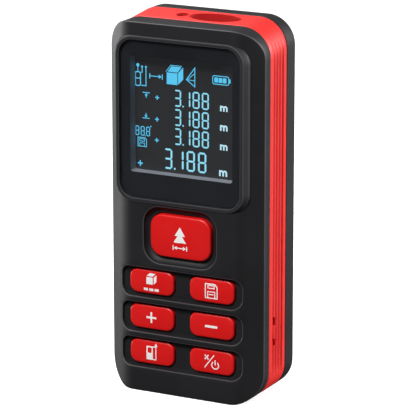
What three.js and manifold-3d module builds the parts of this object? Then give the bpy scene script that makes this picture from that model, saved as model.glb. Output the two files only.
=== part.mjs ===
// Laser distance meter, in millimetres.
// +X is the right side, -Y the front (display) side, +Z the measuring end.
// The origin is at the middle of the bottom face.
import * as THREE from 'three';
import { mergeVertices } from 'three/addons/utils/BufferGeometryUtils.js';
import Module from 'manifold-3d';

// ---- driving dimensions ----
const HALF_WIDTH = 26;
const CORNER_RADIUS = 9;
const FRONT_HEIGHT = 115.1;
const REAR_HEIGHT = 116.2;
const FACE_Y = -13.6;
const BEZEL_Y = -14.0;
const CREASE_Y = -8.15;
const FACE_HALF_WIDTH = 19;
const FRONT_PARTING_Y = -5.05;
const REAR_PARTING_Y = 6.15;
const REAR_EDGE_Y = 10.87;
const REAR_FACE_Y = 14.0;
const WALL = 2;
const GAP = 0.15;

const WINDOW = { width: 40.2, height: 48.2, radius: 4.5, z: 85.4 };
const APERTURE = { width: 34.4, height: 35.6, radius: 0.8, z: 86.7 };
const LENS_FRONT_Y = -13.75;
const LENS_REAR_Y = -12.65;
const KEY_PAD_REAR_Y = -10.2;
const WINDOW_WALL_REAR_Y = -11.2;

const MEASURE_KEY = { width: 20.5, height: 13.2, radius: 4, faceY: -13.4, x: 0, z: 50.2 };
const SMALL_KEY = { width: 15.1, height: 7.6, radius: 2.6, faceY: -12.65, x: 10.25 };
const KEY_ROWS_Z = [34.75, 23.6, 12.4];
const KEY_FLANGE = 0.6;
const KEY_REAR_Y = -9.2;
const WELL = { width: 24.6, height: 17.7, radius: 5.5, floorY: -11.5 };
const TROUGH = { width: 41, height: 9.35, radius: 3.2, floorY: -11.4 };

const SHROUD_FRONT_Y = -12.4;
const SHROUD_STEP_Y = -10.95;
const SHROUD_REAR_Y = -9.3;

const GROOVES_Y = [-2.25, -0.28, 1.68, 3.65];
const GROOVE = { width: 0.7, depth: 0.7, lowZ: 8, highZ: 106 };
const STRAP_SLOTS_Z = [[23.2, 25.8], [16.8, 19]];
const STRAP_SLOT_Y = [-2.4, -0.8];

const BOARD_FRONT_Y = -4.9;
const BOARD_REAR_Y = -3.3;
const CASE_SCREWS_X = 19.8;
const CASE_SCREWS_Z = [5.9, 109.2];
const BOARD_SCREWS_X = 21.6;
const BOARD_SCREWS_Z = [30, 99];
const BRACKET_SCREWS_X = [-14.2, 17.2];
const BRACKET_SCREWS_Z = 96;

const BEAM = { x: -6.3, y: 0.55, width: 3.9 };
const RECEIVER = { x: 5.2, y: 0.55 };
const RECEIVER_HOLE = { x: 4.75, width: 17.2, depth: 8 };
const OPTICS_BASE_Z = 88;

// Two AAA cells side by side.
const BATTERY = { radius: 5.25, length: 44.5, capLength: 0.8, capRadius: 1.9, x: 5.6, y: 5.3 };
const CELL_BAY = { halfWidth: 11.5, lowZ: 8, highZ: 58.4, floorY: -0.2, wall: 1.2 };
const DOOR = { halfWidth: 13.3, lowZ: 5.2, highZ: 60.7, innerY: 12.5, outerY: 13.95, hookX: 8.5 };

// ---- solids ----
const wasm = await Module();
wasm.setup();

function toSolid(geometry) {
  const plain = geometry.clone();
  plain.deleteAttribute('normal');
  plain.deleteAttribute('uv');
  const merged = mergeVertices(plain, 1e-4);
  const vertProperties = new Float32Array(merged.attributes.position.array);
  const triVerts = new Uint32Array(merged.index.array);
  return new wasm.Manifold(new wasm.Mesh({ numProp: 3, vertProperties, triVerts }));
}

function toGeometry(solid) {
  const mesh = solid.getMesh();
  const geometry = new THREE.BufferGeometry();
  geometry.setAttribute('position', new THREE.BufferAttribute(mesh.vertProperties, 3));
  geometry.setIndex(new THREE.BufferAttribute(mesh.triVerts, 1));
  const faceted = geometry.toNonIndexed();
  faceted.computeVertexNormals();
  return faceted;
}

const join = (first, ...others) => others.reduce((sum, item) => sum.add(toSolid(item)), first);
const cut = (first, ...tools) => tools.reduce((rest, item) => rest.subtract(toSolid(item)), first);

// ---- shapes ----
function roundedRect(width, height, radius, centreX, centreZ) {
  const [left, right] = [centreX - width / 2, centreX + width / 2];
  const [low, high] = [centreZ - height / 2, centreZ + height / 2];
  const shape = new THREE.Shape();
  shape.moveTo(left + radius, low);
  shape.absarc(right - radius, low + radius, radius, -Math.PI / 2, 0);
  shape.absarc(right - radius, high - radius, radius, 0, Math.PI / 2);
  shape.absarc(left + radius, high - radius, radius, Math.PI / 2, Math.PI);
  shape.absarc(left + radius, low + radius, radius, Math.PI, 1.5 * Math.PI);
  return shape;
}

function polygon(points) {
  return new THREE.Shape(points.map(([x, y]) => new THREE.Vector2(x, y)));
}

// A shape drawn in X and Z, made solid from front to rear along Y.
function plate(shape, frontY, rearY, arcSteps = 2) {
  const geometry = new THREE.ExtrudeGeometry(shape, {
    depth: rearY - frontY,
    bevelEnabled: false,
    curveSegments: arcSteps,
  });
  return geometry.rotateX(Math.PI / 2).translate(0, rearY, 0);
}

// The same, with edges rounded inwards over `size` across and `thickness` along Y.
function roundedPlate(shape, frontY, rearY, size, thickness, steps, arcSteps = 2) {
  const geometry = new THREE.ExtrudeGeometry(shape, {
    depth: rearY - frontY - 2 * thickness,
    bevelSize: size,
    bevelOffset: -size,
    bevelThickness: thickness,
    bevelSegments: steps,
    curveSegments: arcSteps,
  });
  return geometry.rotateX(Math.PI / 2).translate(0, rearY - thickness, 0);
}

function box(lowX, highX, lowY, highY, lowZ, highZ) {
  const geometry = new THREE.BoxGeometry(highX - lowX, highY - lowY, highZ - lowZ);
  return geometry.translate((lowX + highX) / 2, (lowY + highY) / 2, (lowZ + highZ) / 2);
}

// Cylinders: CylinderGeometry's own axis is Y.
function postY(radius, frontY, rearY, x, z, sides = 12) {
  const geometry = new THREE.CylinderGeometry(radius, radius, rearY - frontY, sides);
  return geometry.translate(x, (frontY + rearY) / 2, z);
}

function postZ(radius, lowZ, highZ, x, y, sides = 16) {
  const geometry = new THREE.CylinderGeometry(radius, radius, highZ - lowZ, sides);
  return geometry.rotateX(Math.PI / 2).translate(x, y, (lowZ + highZ) / 2);
}

// A profile of [radius, height] turned about Z.
function turnedZ(profile, sides) {
  const points = profile.map(([radius, height]) => new THREE.Vector2(radius, height));
  return new THREE.LatheGeometry(points, sides).rotateX(Math.PI / 2);
}

function keyOutline(key, x, z, grow = 0) {
  return roundedRect(key.width + 2 * grow, key.height + 2 * grow, key.radius + grow, x, z);
}

// ---- the assembly ----
const meter = new THREE.Group();
meter.name = 'laser_distance_meter';

const FINISHES = {
  softBlack: { color: 0x232325, roughness: 0.62, metalness: 0 },
  bandRed: { color: 0xe02e2a, roughness: 0.42, metalness: 0 },
  keyRed: { color: 0xdc1012, roughness: 0.38, metalness: 0 },
  glass: { color: 0x15151a, roughness: 0.08, metalness: 0 },
  rubberGrey: { color: 0x2c2c2e, roughness: 0.8, metalness: 0 },
  screenDark: { color: 0x232121, roughness: 0.2, metalness: 0 },
  whitePlastic: { color: 0xd9dce0, roughness: 0.5, metalness: 0 },
  greyPlastic: { color: 0x4a464a, roughness: 0.6, metalness: 0 },
  boardGreen: { color: 0x1d5a34, roughness: 0.5, metalness: 0 },
  chipBlack: { color: 0x17181a, roughness: 0.5, metalness: 0 },
  ribbonAmber: { color: 0xb5732a, roughness: 0.4, metalness: 0 },
  steel: { color: 0xb9bbbe, roughness: 0.32, metalness: 1 },
  nickel: { color: 0xc9c6bd, roughness: 0.25, metalness: 1 },
  brass: { color: 0xc49a4a, roughness: 0.3, metalness: 1 },
  opticGlass: { color: 0xdfe8ee, roughness: 0.03, metalness: 0 },
  batteryWrap: { color: 0x2f5f8f, roughness: 0.3, metalness: 0 },
};

function addPiece(name, geometry, finish, place = [0, 0, 0]) {
  const piece = new THREE.Mesh(geometry, new THREE.MeshStandardMaterial(FINISHES[finish]));
  piece.name = name;
  piece.position.set(...place);
  meter.add(piece);
  return piece;
}

// The band's height grows evenly from the front parting line to the rear one.
const DRAFT = (REAR_HEIGHT / FRONT_HEIGHT - 1) / (REAR_PARTING_Y - FRONT_PARTING_Y);

function drafted(geometry) {
  const position = geometry.attributes.position;
  for (let i = 0; i < position.count; i += 1) {
    const rise = 1 + DRAFT * (position.getY(i) - FRONT_PARTING_Y);
    position.setZ(i, position.getZ(i) * rise);
  }
  return geometry;
}

function caseOutline(height, inset = 0) {
  const size = [2 * (HALF_WIDTH - inset), height - 2 * inset];
  return roundedRect(...size, CORNER_RADIUS - inset, 0, height / 2);
}

// The front shell's level section: flat face, wide bevels, narrow upright sides.
function frontSection(inset) {
  const side = HALF_WIDTH - inset;
  const face = FACE_Y + inset;
  const flat = FACE_HALF_WIDTH - inset / 2;
  const crease = CREASE_Y + inset / 2;
  const rear = FRONT_PARTING_Y - GAP / 2 + (inset > 0 ? 1 : 0);
  const shape = new THREE.Shape();
  shape.moveTo(side, rear);
  shape.lineTo(-side, rear);
  shape.lineTo(-side, crease);
  shape.lineTo(-flat - 2.4, face + 1.87);
  shape.quadraticCurveTo(-flat, face, -flat + 3, face);
  shape.lineTo(flat - 3, face);
  shape.quadraticCurveTo(flat, face, flat + 2.4, face + 1.87);
  shape.lineTo(side, crease);
  return shape;
}

function frontShell() {
  const column = (inset) => new THREE.ExtrudeGeometry(frontSection(inset), {
    depth: FRONT_HEIGHT + 2,
    bevelEnabled: false,
    curveSegments: 3,
  }).translate(0, 0, -1);
  const slab = plate(caseOutline(FRONT_HEIGHT), BEZEL_Y - 1, FRONT_PARTING_Y + 1, 4);
  const bezelWidth = WINDOW.width + 4.4;
  const bezel = roundedRect(bezelWidth, WINDOW.height + 4.4, WINDOW.radius + 2.2, 0, WINDOW.z);
  const bezelBody = roundedPlate(bezel, BEZEL_Y, CREASE_Y + 0.4, 0.9, 1.6, 1);
  const innerOutline = caseOutline(FRONT_HEIGHT, WALL);
  const innerSlab = plate(innerOutline, WINDOW_WALL_REAR_Y, FRONT_PARTING_Y + 2, 3);
  const keyPad = box(-24, 24, -13, KEY_PAD_REAR_Y, 1, 60);
  const hollow = cut(toSolid(column(WALL)).intersect(toSolid(innerSlab)), keyPad);
  let shell = join(toSolid(column(0)).intersect(toSolid(slab)), bezelBody).subtract(hollow);
  const inside = toSolid(column(1)).intersect(toSolid(slab));
  for (const side of [-1, 1]) {
    for (const z of CASE_SCREWS_Z) {
      const boss = toSolid(postY(2.8, -12, FRONT_PARTING_Y - 0.25, side * CASE_SCREWS_X, z));
      shell = shell.add(boss.intersect(inside));
      shell = cut(shell, postY(1.05, -10.4, 0, side * CASE_SCREWS_X, z, 8));
    }
    for (const z of BOARD_SCREWS_Z) {
      const post = toSolid(postY(1.6, -12, BOARD_FRONT_Y - GAP, side * BOARD_SCREWS_X, z));
      shell = shell.add(post.intersect(inside));
      shell = cut(shell, postY(0.75, -9, 0, side * BOARD_SCREWS_X, z, 8));
    }
  }
  const recessHeight = WINDOW.height + 0.4;
  const recess = roundedRect(WINDOW.width + 0.4, recessHeight, WINDOW.radius + 0.2, 0, WINDOW.z);
  const { width, height, radius, z } = APERTURE;
  const opening = roundedRect(width + 1.6, height + 1.6, radius + 0.6, 0, z);
  shell = cut(shell, plate(recess, -20, LENS_REAR_Y + GAP), plate(opening, -20, 0));
  const well = roundedRect(WELL.width, WELL.height, WELL.radius, 0, MEASURE_KEY.z);
  shell = cut(shell, plate(well, -20, WELL.floorY));
  shell = cut(shell, plate(keyOutline(MEASURE_KEY, 0, MEASURE_KEY.z, 0.3), -20, 0));
  for (const rowZ of KEY_ROWS_Z) {
    const trough = roundedRect(TROUGH.width, TROUGH.height, TROUGH.radius, 0, rowZ);
    shell = cut(shell, plate(trough, -20, TROUGH.floorY));
    for (const side of [-1, 1]) {
      shell = cut(shell, plate(keyOutline(SMALL_KEY, side * SMALL_KEY.x, rowZ, 0.3), -20, 0));
    }
  }
  return toGeometry(shell);
}
addPiece('front_shell', frontShell(), 'softBlack');

// Rubber band between the shells: grips, strap slots and the two optical openings.
function midBand() {
  const [front, rear] = [FRONT_PARTING_Y + GAP / 2, REAR_PARTING_Y - GAP / 2];
  const outside = drafted(plate(caseOutline(FRONT_HEIGHT), front, rear, 4));
  const inside = drafted(plate(caseOutline(FRONT_HEIGHT, WALL), front - 1, rear + 1, 4));
  let band = cut(toSolid(outside), inside);
  for (const side of [-1, 1]) {
    for (const z of CASE_SCREWS_Z) {
      const x = side * CASE_SCREWS_X;
      const webEnds = [x, side * (HALF_WIDTH - 1.4)].sort((a, b) => a - b);
      const web = box(...webEnds, front, rear, z - 0.8, z + 0.8);
      band = cut(join(band, postY(2.8, front, rear, x, z), web), postY(1.3, -20, 20, x, z, 8));
    }
    const ends = [side * (HALF_WIDTH - GROOVE.depth), side * (HALF_WIDTH + 1)].sort((a, b) => a - b);
    for (const y of GROOVES_Y) {
      const reach = [y - GROOVE.width / 2, y + GROOVE.width / 2];
      band = cut(band, box(...ends, ...reach, GROOVE.lowZ, GROOVE.highZ));
    }
  }
  const roof = box(-14, 16, front, rear, FRONT_HEIGHT - 3.3, FRONT_HEIGHT - 1);
  band = join(band, roof);
  const beamHole = postZ(BEAM.width / 2, 100, 120, BEAM.x, BEAM.y);
  const receiverHole = postZ(RECEIVER_HOLE.depth / 2, 100, 120, 0, RECEIVER.y, 24);
  receiverHole.scale(RECEIVER_HOLE.width / RECEIVER_HOLE.depth, 1, 1);
  band = cut(band, beamHole, receiverHole.translate(RECEIVER_HOLE.x, 0, 0));
  for (const slotZ of STRAP_SLOTS_Z) {
    band = cut(band, box(HALF_WIDTH - 3, HALF_WIDTH + 1, ...STRAP_SLOT_Y, ...slotZ));
  }
  return toGeometry(band);
}
addPiece('mid_band', midBand(), 'bandRed');

// Rear shell with the battery bay and the seat of its door.
function rearShell() {
  const front = REAR_PARTING_Y + GAP / 2;
  const rounding = REAR_FACE_Y - REAR_EDGE_Y;
  const outline = caseOutline(REAR_HEIGHT);
  const outer = toSolid(roundedPlate(outline, -8, REAR_FACE_Y, 3.2, rounding, 4, 4));
  const half = toSolid(box(-40, 40, front, 20, -5, 130));
  let shell = outer.intersect(half);
  const innerOutline = caseOutline(REAR_HEIGHT, WALL);
  shell = cut(shell, roundedPlate(innerOutline, -8, REAR_FACE_Y - WALL, 2.4, 2.4, 2, 3));
  const { halfWidth, lowZ, highZ, floorY, wall } = CELL_BAY;
  const seatBlock = box(-15, 15, 10.9, 13, 1, 64.5);
  const bayWidth = [-halfWidth - wall, halfWidth + wall];
  const bayBlock = box(...bayWidth, floorY - wall, 11.5, lowZ - wall, highZ + wall);
  shell = join(shell, seatBlock, bayBlock);
  for (const side of [-1, 1]) {
    for (const z of CASE_SCREWS_Z) {
      const x = side * CASE_SCREWS_X;
      shell = join(shell, postY(2.8, front, 13, x, z));
      shell = cut(shell, postY(1.3, -20, 20, x, z, 8), postY(2.4, 11.9, 20, x, z));
    }
  }
  const seatWidth = [-DOOR.halfWidth - 0.3, DOOR.halfWidth + 0.3];
  const seatLowZ = DOOR.lowZ - 0.8;
  shell = cut(
    shell,
    box(-halfWidth, halfWidth, floorY, 20, lowZ, highZ),
    box(...seatWidth, DOOR.innerY - 0.3, 20, seatLowZ, DOOR.highZ + 0.3),
    box(...seatWidth, 11.7, 20, seatLowZ, 8.2),
    box(-4.6, 4.6, 11, 20, 60, 62.4),
  );
  for (const side of [-1, 1]) {
    const hookX = side * DOOR.hookX;
    shell = cut(shell, box(hookX - 2.1, hookX + 2.1, 10, 20, 4.45, 8.2));
  }
  return toGeometry(shell);
}
addPiece('rear_shell', rearShell(), 'softBlack');

// Battery door: hooks at the bottom edge, a thumb latch at the top.
function batteryDoor() {
  const middle = (DOOR.lowZ + DOOR.highZ) / 2;
  const leaf = roundedRect(2 * DOOR.halfWidth, DOOR.highZ - DOOR.lowZ, 1, 0, middle);
  let door = toSolid(plate(leaf, DOOR.innerY, DOOR.outerY));
  door = join(door, box(-4.2, 4.2, DOOR.innerY, DOOR.outerY, 60, 62));
  door = join(door, box(-3, 3, 11.4, DOOR.innerY + 0.2, 60.9, 62));
  for (const side of [-1, 1]) {
    const hookX = side * DOOR.hookX;
    door = join(door, box(hookX - 1.5, hookX + 1.5, 11.6, DOOR.innerY + 0.2, 5.5, 6.9));
  }
  for (const z of [54, 55.6, 57.2]) {
    door = cut(door, box(-6, 6, DOOR.outerY - 0.4, 20, z - 0.35, z + 0.35));
  }
  return toGeometry(door);
}
addPiece('battery_door', batteryDoor(), 'softBlack');

const lensOutline = roundedRect(WINDOW.width, WINDOW.height, WINDOW.radius, 0, WINDOW.z);
addPiece('window_lens', plate(lensOutline, LENS_FRONT_Y, LENS_REAR_Y, 4), 'glass');

// ---- keypad: each key has a rounded cap and a flange that keeps it in the shell ----
const SMALL_KEY_NAMES = [
  ['menu_key', 'save_key'],
  ['plus_key', 'minus_key'],
  ['reference_key', 'clear_power_key'],
];
const keys = [{ name: 'measure_key', form: MEASURE_KEY, x: MEASURE_KEY.x, z: MEASURE_KEY.z }];
SMALL_KEY_NAMES.forEach((row, rowIndex) => {
  row.forEach((name, column) => {
    const x = (column === 0 ? -1 : 1) * SMALL_KEY.x;
    keys.push({ name, form: SMALL_KEY, x, z: KEY_ROWS_Z[rowIndex] });
  });
});

function keyBody(form) {
  const cap = roundedPlate(keyOutline(form, 0, 0), form.faceY, KEY_REAR_Y, 0.7, 0.6, 2);
  const flange = plate(keyOutline(form, 0, 0, KEY_FLANGE), KEY_REAR_Y - 0.7, KEY_REAR_Y);
  return toGeometry(join(toSolid(cap), flange));
}

const STEM = { radius: 1.7, frontY: KEY_REAR_Y + GAP, rearY: -6.9 };
const SWITCH = { half: 3, frontY: -7.4, rearY: BOARD_FRONT_Y - GAP };

function switchBase() {
  const { half, frontY, rearY } = SWITCH;
  const base = toSolid(box(-half, half, frontY, rearY, -half, half));
  return toGeometry(cut(base, postY(STEM.radius + 0.3, frontY - 1, frontY + 1.3, 0, 0)));
}

for (const { name, form, x, z } of keys) {
  const word = name.replace('_key', '');
  addPiece(name, keyBody(form), 'keyRed', [x, 0, z]);
  addPiece(`${word}_switch`, switchBase(), 'chipBlack', [x, 0, z]);
  const stem = postY(STEM.radius, STEM.frontY, STEM.rearY, 0, 0);
  addPiece(`${word}_switch_stem`, stem, 'greyPlastic', [x, 0, z]);
}

// Rubber sheet that seals the keypad, open around each key's flange.
function keypadMat() {
  const sheet = roundedRect(39.2, 53, 3, 0, 32.2);
  let mat = toSolid(plate(sheet, KEY_PAD_REAR_Y + 0.3, KEY_REAR_Y));
  for (const { form, x, z } of keys) {
    mat = cut(mat, plate(keyOutline(form, x, z, KEY_FLANGE + 0.25), -20, 0));
  }
  for (const side of [-1, 1]) {
    mat = cut(mat, postY(3.1, -20, 0, side * CASE_SCREWS_X, CASE_SCREWS_Z[0]));
  }
  return toGeometry(mat);
}
addPiece('keypad_mat', keypadMat(), 'rubberGrey');

// ---- display ----
// The shroud leads from the window down to the panel, with a wider foot behind the shell's wall.
function displayShroud() {
  const collar = roundedRect(35.7, 36.9, 1.2, 0, APERTURE.z);
  const foot = roundedRect(36.4, 38, 1.2, 0, APERTURE.z);
  const inside = roundedRect(34.6, 35.8, 0.9, 0, APERTURE.z);
  const body = join(
    toSolid(plate(collar, SHROUD_FRONT_Y, SHROUD_STEP_Y + 0.2)),
    plate(foot, SHROUD_STEP_Y, SHROUD_REAR_Y),
  );
  return toGeometry(cut(body, plate(inside, -20, 0)));
}
addPiece('display_shroud', displayShroud(), 'greyPlastic');

const panelOutline = roundedRect(37.2, 38.6, 0.6, 0, APERTURE.z);
addPiece('lcd_panel', plate(panelOutline, -9.15, -7.55, 1), 'screenDark');
addPiece('backlight_plate', plate(panelOutline, -7.4, -5.3, 1), 'whitePlastic');

// The flat cable leaves the panel's lower edge, turns back and lies on the board.
const ribbonPath = [
  [-8.6, 67.2], [-8.6, 64], [-5.4, 64], [-5.4, 62],
  [-5.1, 62], [-5.1, 64.3], [-8.3, 64.3], [-8.3, 67.2],
];
const ribbonBody = new THREE.ExtrudeGeometry(polygon(ribbonPath), { depth: 16, bevelEnabled: false });
ribbonBody.rotateX(Math.PI / 2).rotateZ(Math.PI / 2).translate(-8, 0, 0);
addPiece('display_ribbon', ribbonBody, 'ribbonAmber');

// ---- main board and what is soldered to its rear ----
function mainBoard() {
  const outline = polygon([
    [-16.4, 6], [16.4, 6], [16.4, 9.4], [23.2, 9.4],
    [23.2, 103.4], [-23.2, 103.4], [-23.2, 9.4], [-16.4, 9.4],
  ]);
  let board = toSolid(plate(outline, BOARD_FRONT_Y, BOARD_REAR_Y));
  for (const side of [-1, 1]) {
    for (const z of BOARD_SCREWS_Z) {
      board = cut(board, postY(1, -20, 20, side * BOARD_SCREWS_X, z, 8));
    }
  }
  for (const x of BRACKET_SCREWS_X) {
    board = cut(board, postY(1, -20, 20, x, BRACKET_SCREWS_Z, 8));
  }
  return toGeometry(board);
}
addPiece('main_board', mainBoard(), 'boardGreen');
const chip = box(-5, 5, BOARD_REAR_Y + GAP, BOARD_REAR_Y + 1.35, -5, 5);
addPiece('processor_chip', chip, 'chipBlack', [-9, 0, 73]);

function buzzer() {
  const can = toSolid(postY(5, BOARD_REAR_Y + GAP, BOARD_REAR_Y + 4.2, 0, 0, 20));
  return toGeometry(cut(can, postY(0.9, BOARD_REAR_Y + 3.2, 10, 0, 0, 8)));
}
addPiece('buzzer', buzzer(), 'chipBlack', [9.5, 0, 73]);

// ---- optics: one bracket carries the laser tube and the receiving lens ----
function opticsBracket() {
  const head = box(-11.5, 14.5, -4.7, 5.8, 105, 111.2);
  const body = box(-11.5, 14.5, -2.8, 5.8, OPTICS_BASE_Z, 105.2);
  let bracket = join(toSolid(body), head);
  for (const x of BRACKET_SCREWS_X) {
    const earEnds = [x, x < 0 ? -11 : 14].sort((a, b) => a - b);
    const ear = box(...earEnds, -2.8, -1.6, 93.6, 98.4);
    bracket = join(bracket, ear, postY(2.4, -2.8, -1.6, x, BRACKET_SCREWS_Z));
    bracket = cut(bracket, postY(1, -20, 20, x, BRACKET_SCREWS_Z, 8));
  }
  const { x, y } = RECEIVER;
  const lensPocket = box(x - 7.4, x + 7.4, y - 4.4, y + 4.4, 106.2, 120);
  const lightWay = box(x - 5, x + 5, y - 2.4, y + 3.4, 80, 107);
  return toGeometry(cut(bracket, postZ(3.3, 80, 120, BEAM.x, BEAM.y), lensPocket, lightWay));
}
addPiece('optics_bracket', opticsBracket(), 'chipBlack');

function laserTube() {
  const profile = [[2, 0], [3, 0], [3, 20], [2, 20], [2, 0]];
  return turnedZ(profile, 16);
}
addPiece('laser_tube', laserTube(), 'brass', [BEAM.x, BEAM.y, 90]);
const beamLens = turnedZ([[0, 0], [1.85, 0], [1.85, 0.9], [1, 1.5], [0, 1.7]], 16);
addPiece('laser_lens', beamLens, 'opticGlass', [BEAM.x, BEAM.y, 107.5]);
const diode = turnedZ([[0, 0], [2.8, 0], [2.8, 1.2], [1.7, 1.2], [1.7, 3.6], [0, 3.6]], 16);
addPiece('laser_diode', diode, 'brass', [BEAM.x, BEAM.y, 88.5]);

function receiverLens() {
  const crown = [[0, 0], [7.2, 0], [7.2, 1], [5.4, 1.9], [3.2, 2.5], [0, 2.8]];
  const round = toSolid(turnedZ(crown, 24));
  return toGeometry(round.intersect(toSolid(box(-10, 10, -4.2, 4.2, -1, 5))));
}
addPiece('receiver_lens', receiverLens(), 'opticGlass', [RECEIVER.x, RECEIVER.y, 107.4]);
const sensorBoard = box(-6, 6, -3.1, 4.1, 85.6, 86.8);
addPiece('sensor_board', sensorBoard, 'boardGreen', [RECEIVER.x, RECEIVER.y, 0]);
const sensorCan = turnedZ([[0, 0], [2.2, 0], [2.2, 2.4], [0, 2.4]], 16);
addPiece('receiver_sensor', sensorCan, 'nickel', [RECEIVER.x, RECEIVER.y, 87]);

// ---- batteries and contacts ----
function battery() {
  const { radius, length, capLength, capRadius } = BATTERY;
  const shoulder = length - capLength;
  const profile = [[0, 0], [radius - 0.6, 0], [radius, 0.6], [radius, shoulder - 0.6],
    [radius - 0.6, shoulder], [capRadius, shoulder], [capRadius, length], [0, length]];
  return turnedZ(profile, 16);
}
const { x: cellX, y: cellY } = BATTERY;
const CELL_END_GAP = 5;
const leftCellZ = CELL_BAY.lowZ + CELL_END_GAP;
const rightCellZ = CELL_BAY.highZ - CELL_END_GAP;
addPiece('battery_left', battery(), 'batteryWrap', [-cellX, cellY, leftCellZ]);
const rightCell = addPiece('battery_right', battery(), 'batteryWrap', [cellX, cellY, rightCellZ]);
rightCell.rotation.x = Math.PI;

// Three turns that narrow towards the cell.
class CoilPath extends THREE.Curve {
  getPoint(t) {
    const angle = 2 * Math.PI * 3 * t;
    const radius = 3.4 - 1.2 * t;
    return new THREE.Vector3(radius * Math.cos(angle), radius * Math.sin(angle), 3.4 * t);
  }
}

function contactSpring() {
  const wire = new THREE.Shape().absarc(0, 0, 0.28, 0, 2 * Math.PI);
  return new THREE.ExtrudeGeometry(wire, {
    steps: 33,
    curveSegments: 3,
    extrudePath: new CoilPath(),
  });
}
addPiece('battery_spring_left', contactSpring(), 'steel', [-cellX, cellY, 9.1]);
const rightSpring = addPiece('battery_spring_right', contactSpring(), 'steel', [cellX, cellY, 57.2]);
rightSpring.rotation.x = Math.PI;
addPiece('link_contact', box(-10.4, 10.4, 0.6, 9.6, 8.2, 8.6), 'nickel');
addPiece('positive_contact', box(-9.6, -1.4, 1, 9.6, 57.7, 58.1), 'nickel');
addPiece('negative_contact', box(1.4, 9.6, 1, 9.6, 57.7, 58.1), 'nickel');

// ---- fasteners: pan heads with a driver recess, turned about Y with the head at the rear ----
function screw(shankRadius, headRadius, headDepth, length) {
  const profile = [[0, 0], [shankRadius, 0.8], [shankRadius, length], [headRadius, length],
    [headRadius, length + headDepth * 0.7], [headRadius * 0.8, length + headDepth],
    [headRadius * 0.4, length + headDepth], [headRadius * 0.3, length + headDepth * 0.4],
    [0, length + headDepth * 0.4]];
  return new THREE.LatheGeometry(profile.map(([r, h]) => new THREE.Vector2(r, h)), 8);
}

const rows = [['lower', 0], ['upper', 1]];
const sides = [['left', -1], ['right', 1]];
for (const [rowName, row] of rows) {
  for (const [sideName, side] of sides) {
    const where = `${rowName}_${sideName}`;
    const casePlace = [side * CASE_SCREWS_X, -9.6, CASE_SCREWS_Z[row]];
    addPiece(`case_screw_${where}`, screw(0.95, 2.1, 1.3, 21.6), 'steel', casePlace);
    const boardPlace = [side * BOARD_SCREWS_X, -7.7, BOARD_SCREWS_Z[row]];
    addPiece(`board_screw_${where}`, screw(0.65, 1.4, 0.9, 4.6), 'steel', boardPlace);
  }
}
sides.forEach(([sideName], index) => {
  const place = [BRACKET_SCREWS_X[index], -4.75, BRACKET_SCREWS_Z];
  addPiece(`bracket_screw_${sideName}`, screw(0.8, 1.6, 0.9, 3.3), 'steel', place);
});

export default meter;
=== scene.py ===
import math

import bmesh
import bpy
import numpy as np
from mathutils.geometry import delaunay_2d_cdt
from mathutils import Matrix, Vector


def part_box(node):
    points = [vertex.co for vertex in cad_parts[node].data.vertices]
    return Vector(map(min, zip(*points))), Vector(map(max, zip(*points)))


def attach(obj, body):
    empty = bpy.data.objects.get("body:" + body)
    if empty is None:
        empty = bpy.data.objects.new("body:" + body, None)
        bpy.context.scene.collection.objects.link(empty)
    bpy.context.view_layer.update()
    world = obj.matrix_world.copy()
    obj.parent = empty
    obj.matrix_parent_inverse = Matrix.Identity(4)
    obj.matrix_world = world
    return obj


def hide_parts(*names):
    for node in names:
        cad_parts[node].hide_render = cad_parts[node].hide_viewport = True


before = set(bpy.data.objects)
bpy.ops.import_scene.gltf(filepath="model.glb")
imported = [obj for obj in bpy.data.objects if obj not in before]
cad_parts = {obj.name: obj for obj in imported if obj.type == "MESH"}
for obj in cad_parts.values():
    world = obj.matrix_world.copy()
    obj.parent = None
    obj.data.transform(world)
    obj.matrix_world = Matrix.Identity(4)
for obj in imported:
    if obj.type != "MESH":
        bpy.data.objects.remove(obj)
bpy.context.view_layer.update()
MM = 0.001


def span(node):
    """The lowest and highest corner of one measured part, in millimetres."""
    low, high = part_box(node)
    return np.round(np.array(low) / MM, 3), np.round(np.array(high) / MM, 3)


print("frame parts:", len(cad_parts))

# %% [markdown]
# ## Outlines
# Nearly every piece of a moulded case starts as a flat outline with rounded corners.
# The outline function keeps the same number of points at any inset.
# That lets us join an outline to a smaller one by four-sided faces, which gives clean fillets.
# %% Outlines


def outline(corners, radii, inset=0.0, arc=8, spacing=3.0):
    """Points (x, z) anticlockwise as seen from the front, round the given corners.

    Each corner is an arc that touches both of its edges. Insetting moves every edge inwards,
    which shortens the radius of an outer corner and lengthens that of an inner one. spacing
    is the distance between points along the edges, or how many steps each edge takes."""
    corners = np.asarray(corners, float)
    count = len(corners)
    radii = np.broadcast_to(np.asarray(radii, float), (count,))
    ahead = np.roll(corners, -1, 0) - corners
    length = np.hypot(ahead[:, 0], ahead[:, 1])
    along = ahead / length[:, None]
    inward = np.stack([-along[:, 1], along[:, 0]], 1)
    came, came_in = np.roll(along, 1, 0), np.roll(inward, 1, 0)
    bend = np.sign(came[:, 0] * along[:, 1] - came[:, 1] * along[:, 0])
    reach = (came_in + inward) / (1 + (came_in * inward).sum(1))[:, None]
    centre = corners + reach * (bend * radii)[:, None]
    size = radii - bend * inset
    loop = []
    for i in range(count):
        turn = math.acos(float(np.clip(came_in[i] @ inward[i], -1, 1))) * bend[i]
        start = math.atan2(*(-bend[i] * came_in[i])[::-1])
        angle = start + turn * np.linspace(0, 1, arc + 1)
        loop.append(centre[i] + size[i] * np.stack([np.cos(angle), np.sin(angle)], 1))
    points = []
    for i in range(count):
        if isinstance(spacing, tuple):
            steps = spacing[i % len(spacing)]
        else:
            steps = max(1, round(length[i] / spacing))
        first, last = loop[i][-1], loop[(i + 1) % count][0]
        share = (np.arange(1, steps) / steps)[:, None]
        points += [loop[i], first + (last - first) * share]
    return np.concatenate(points)


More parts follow.
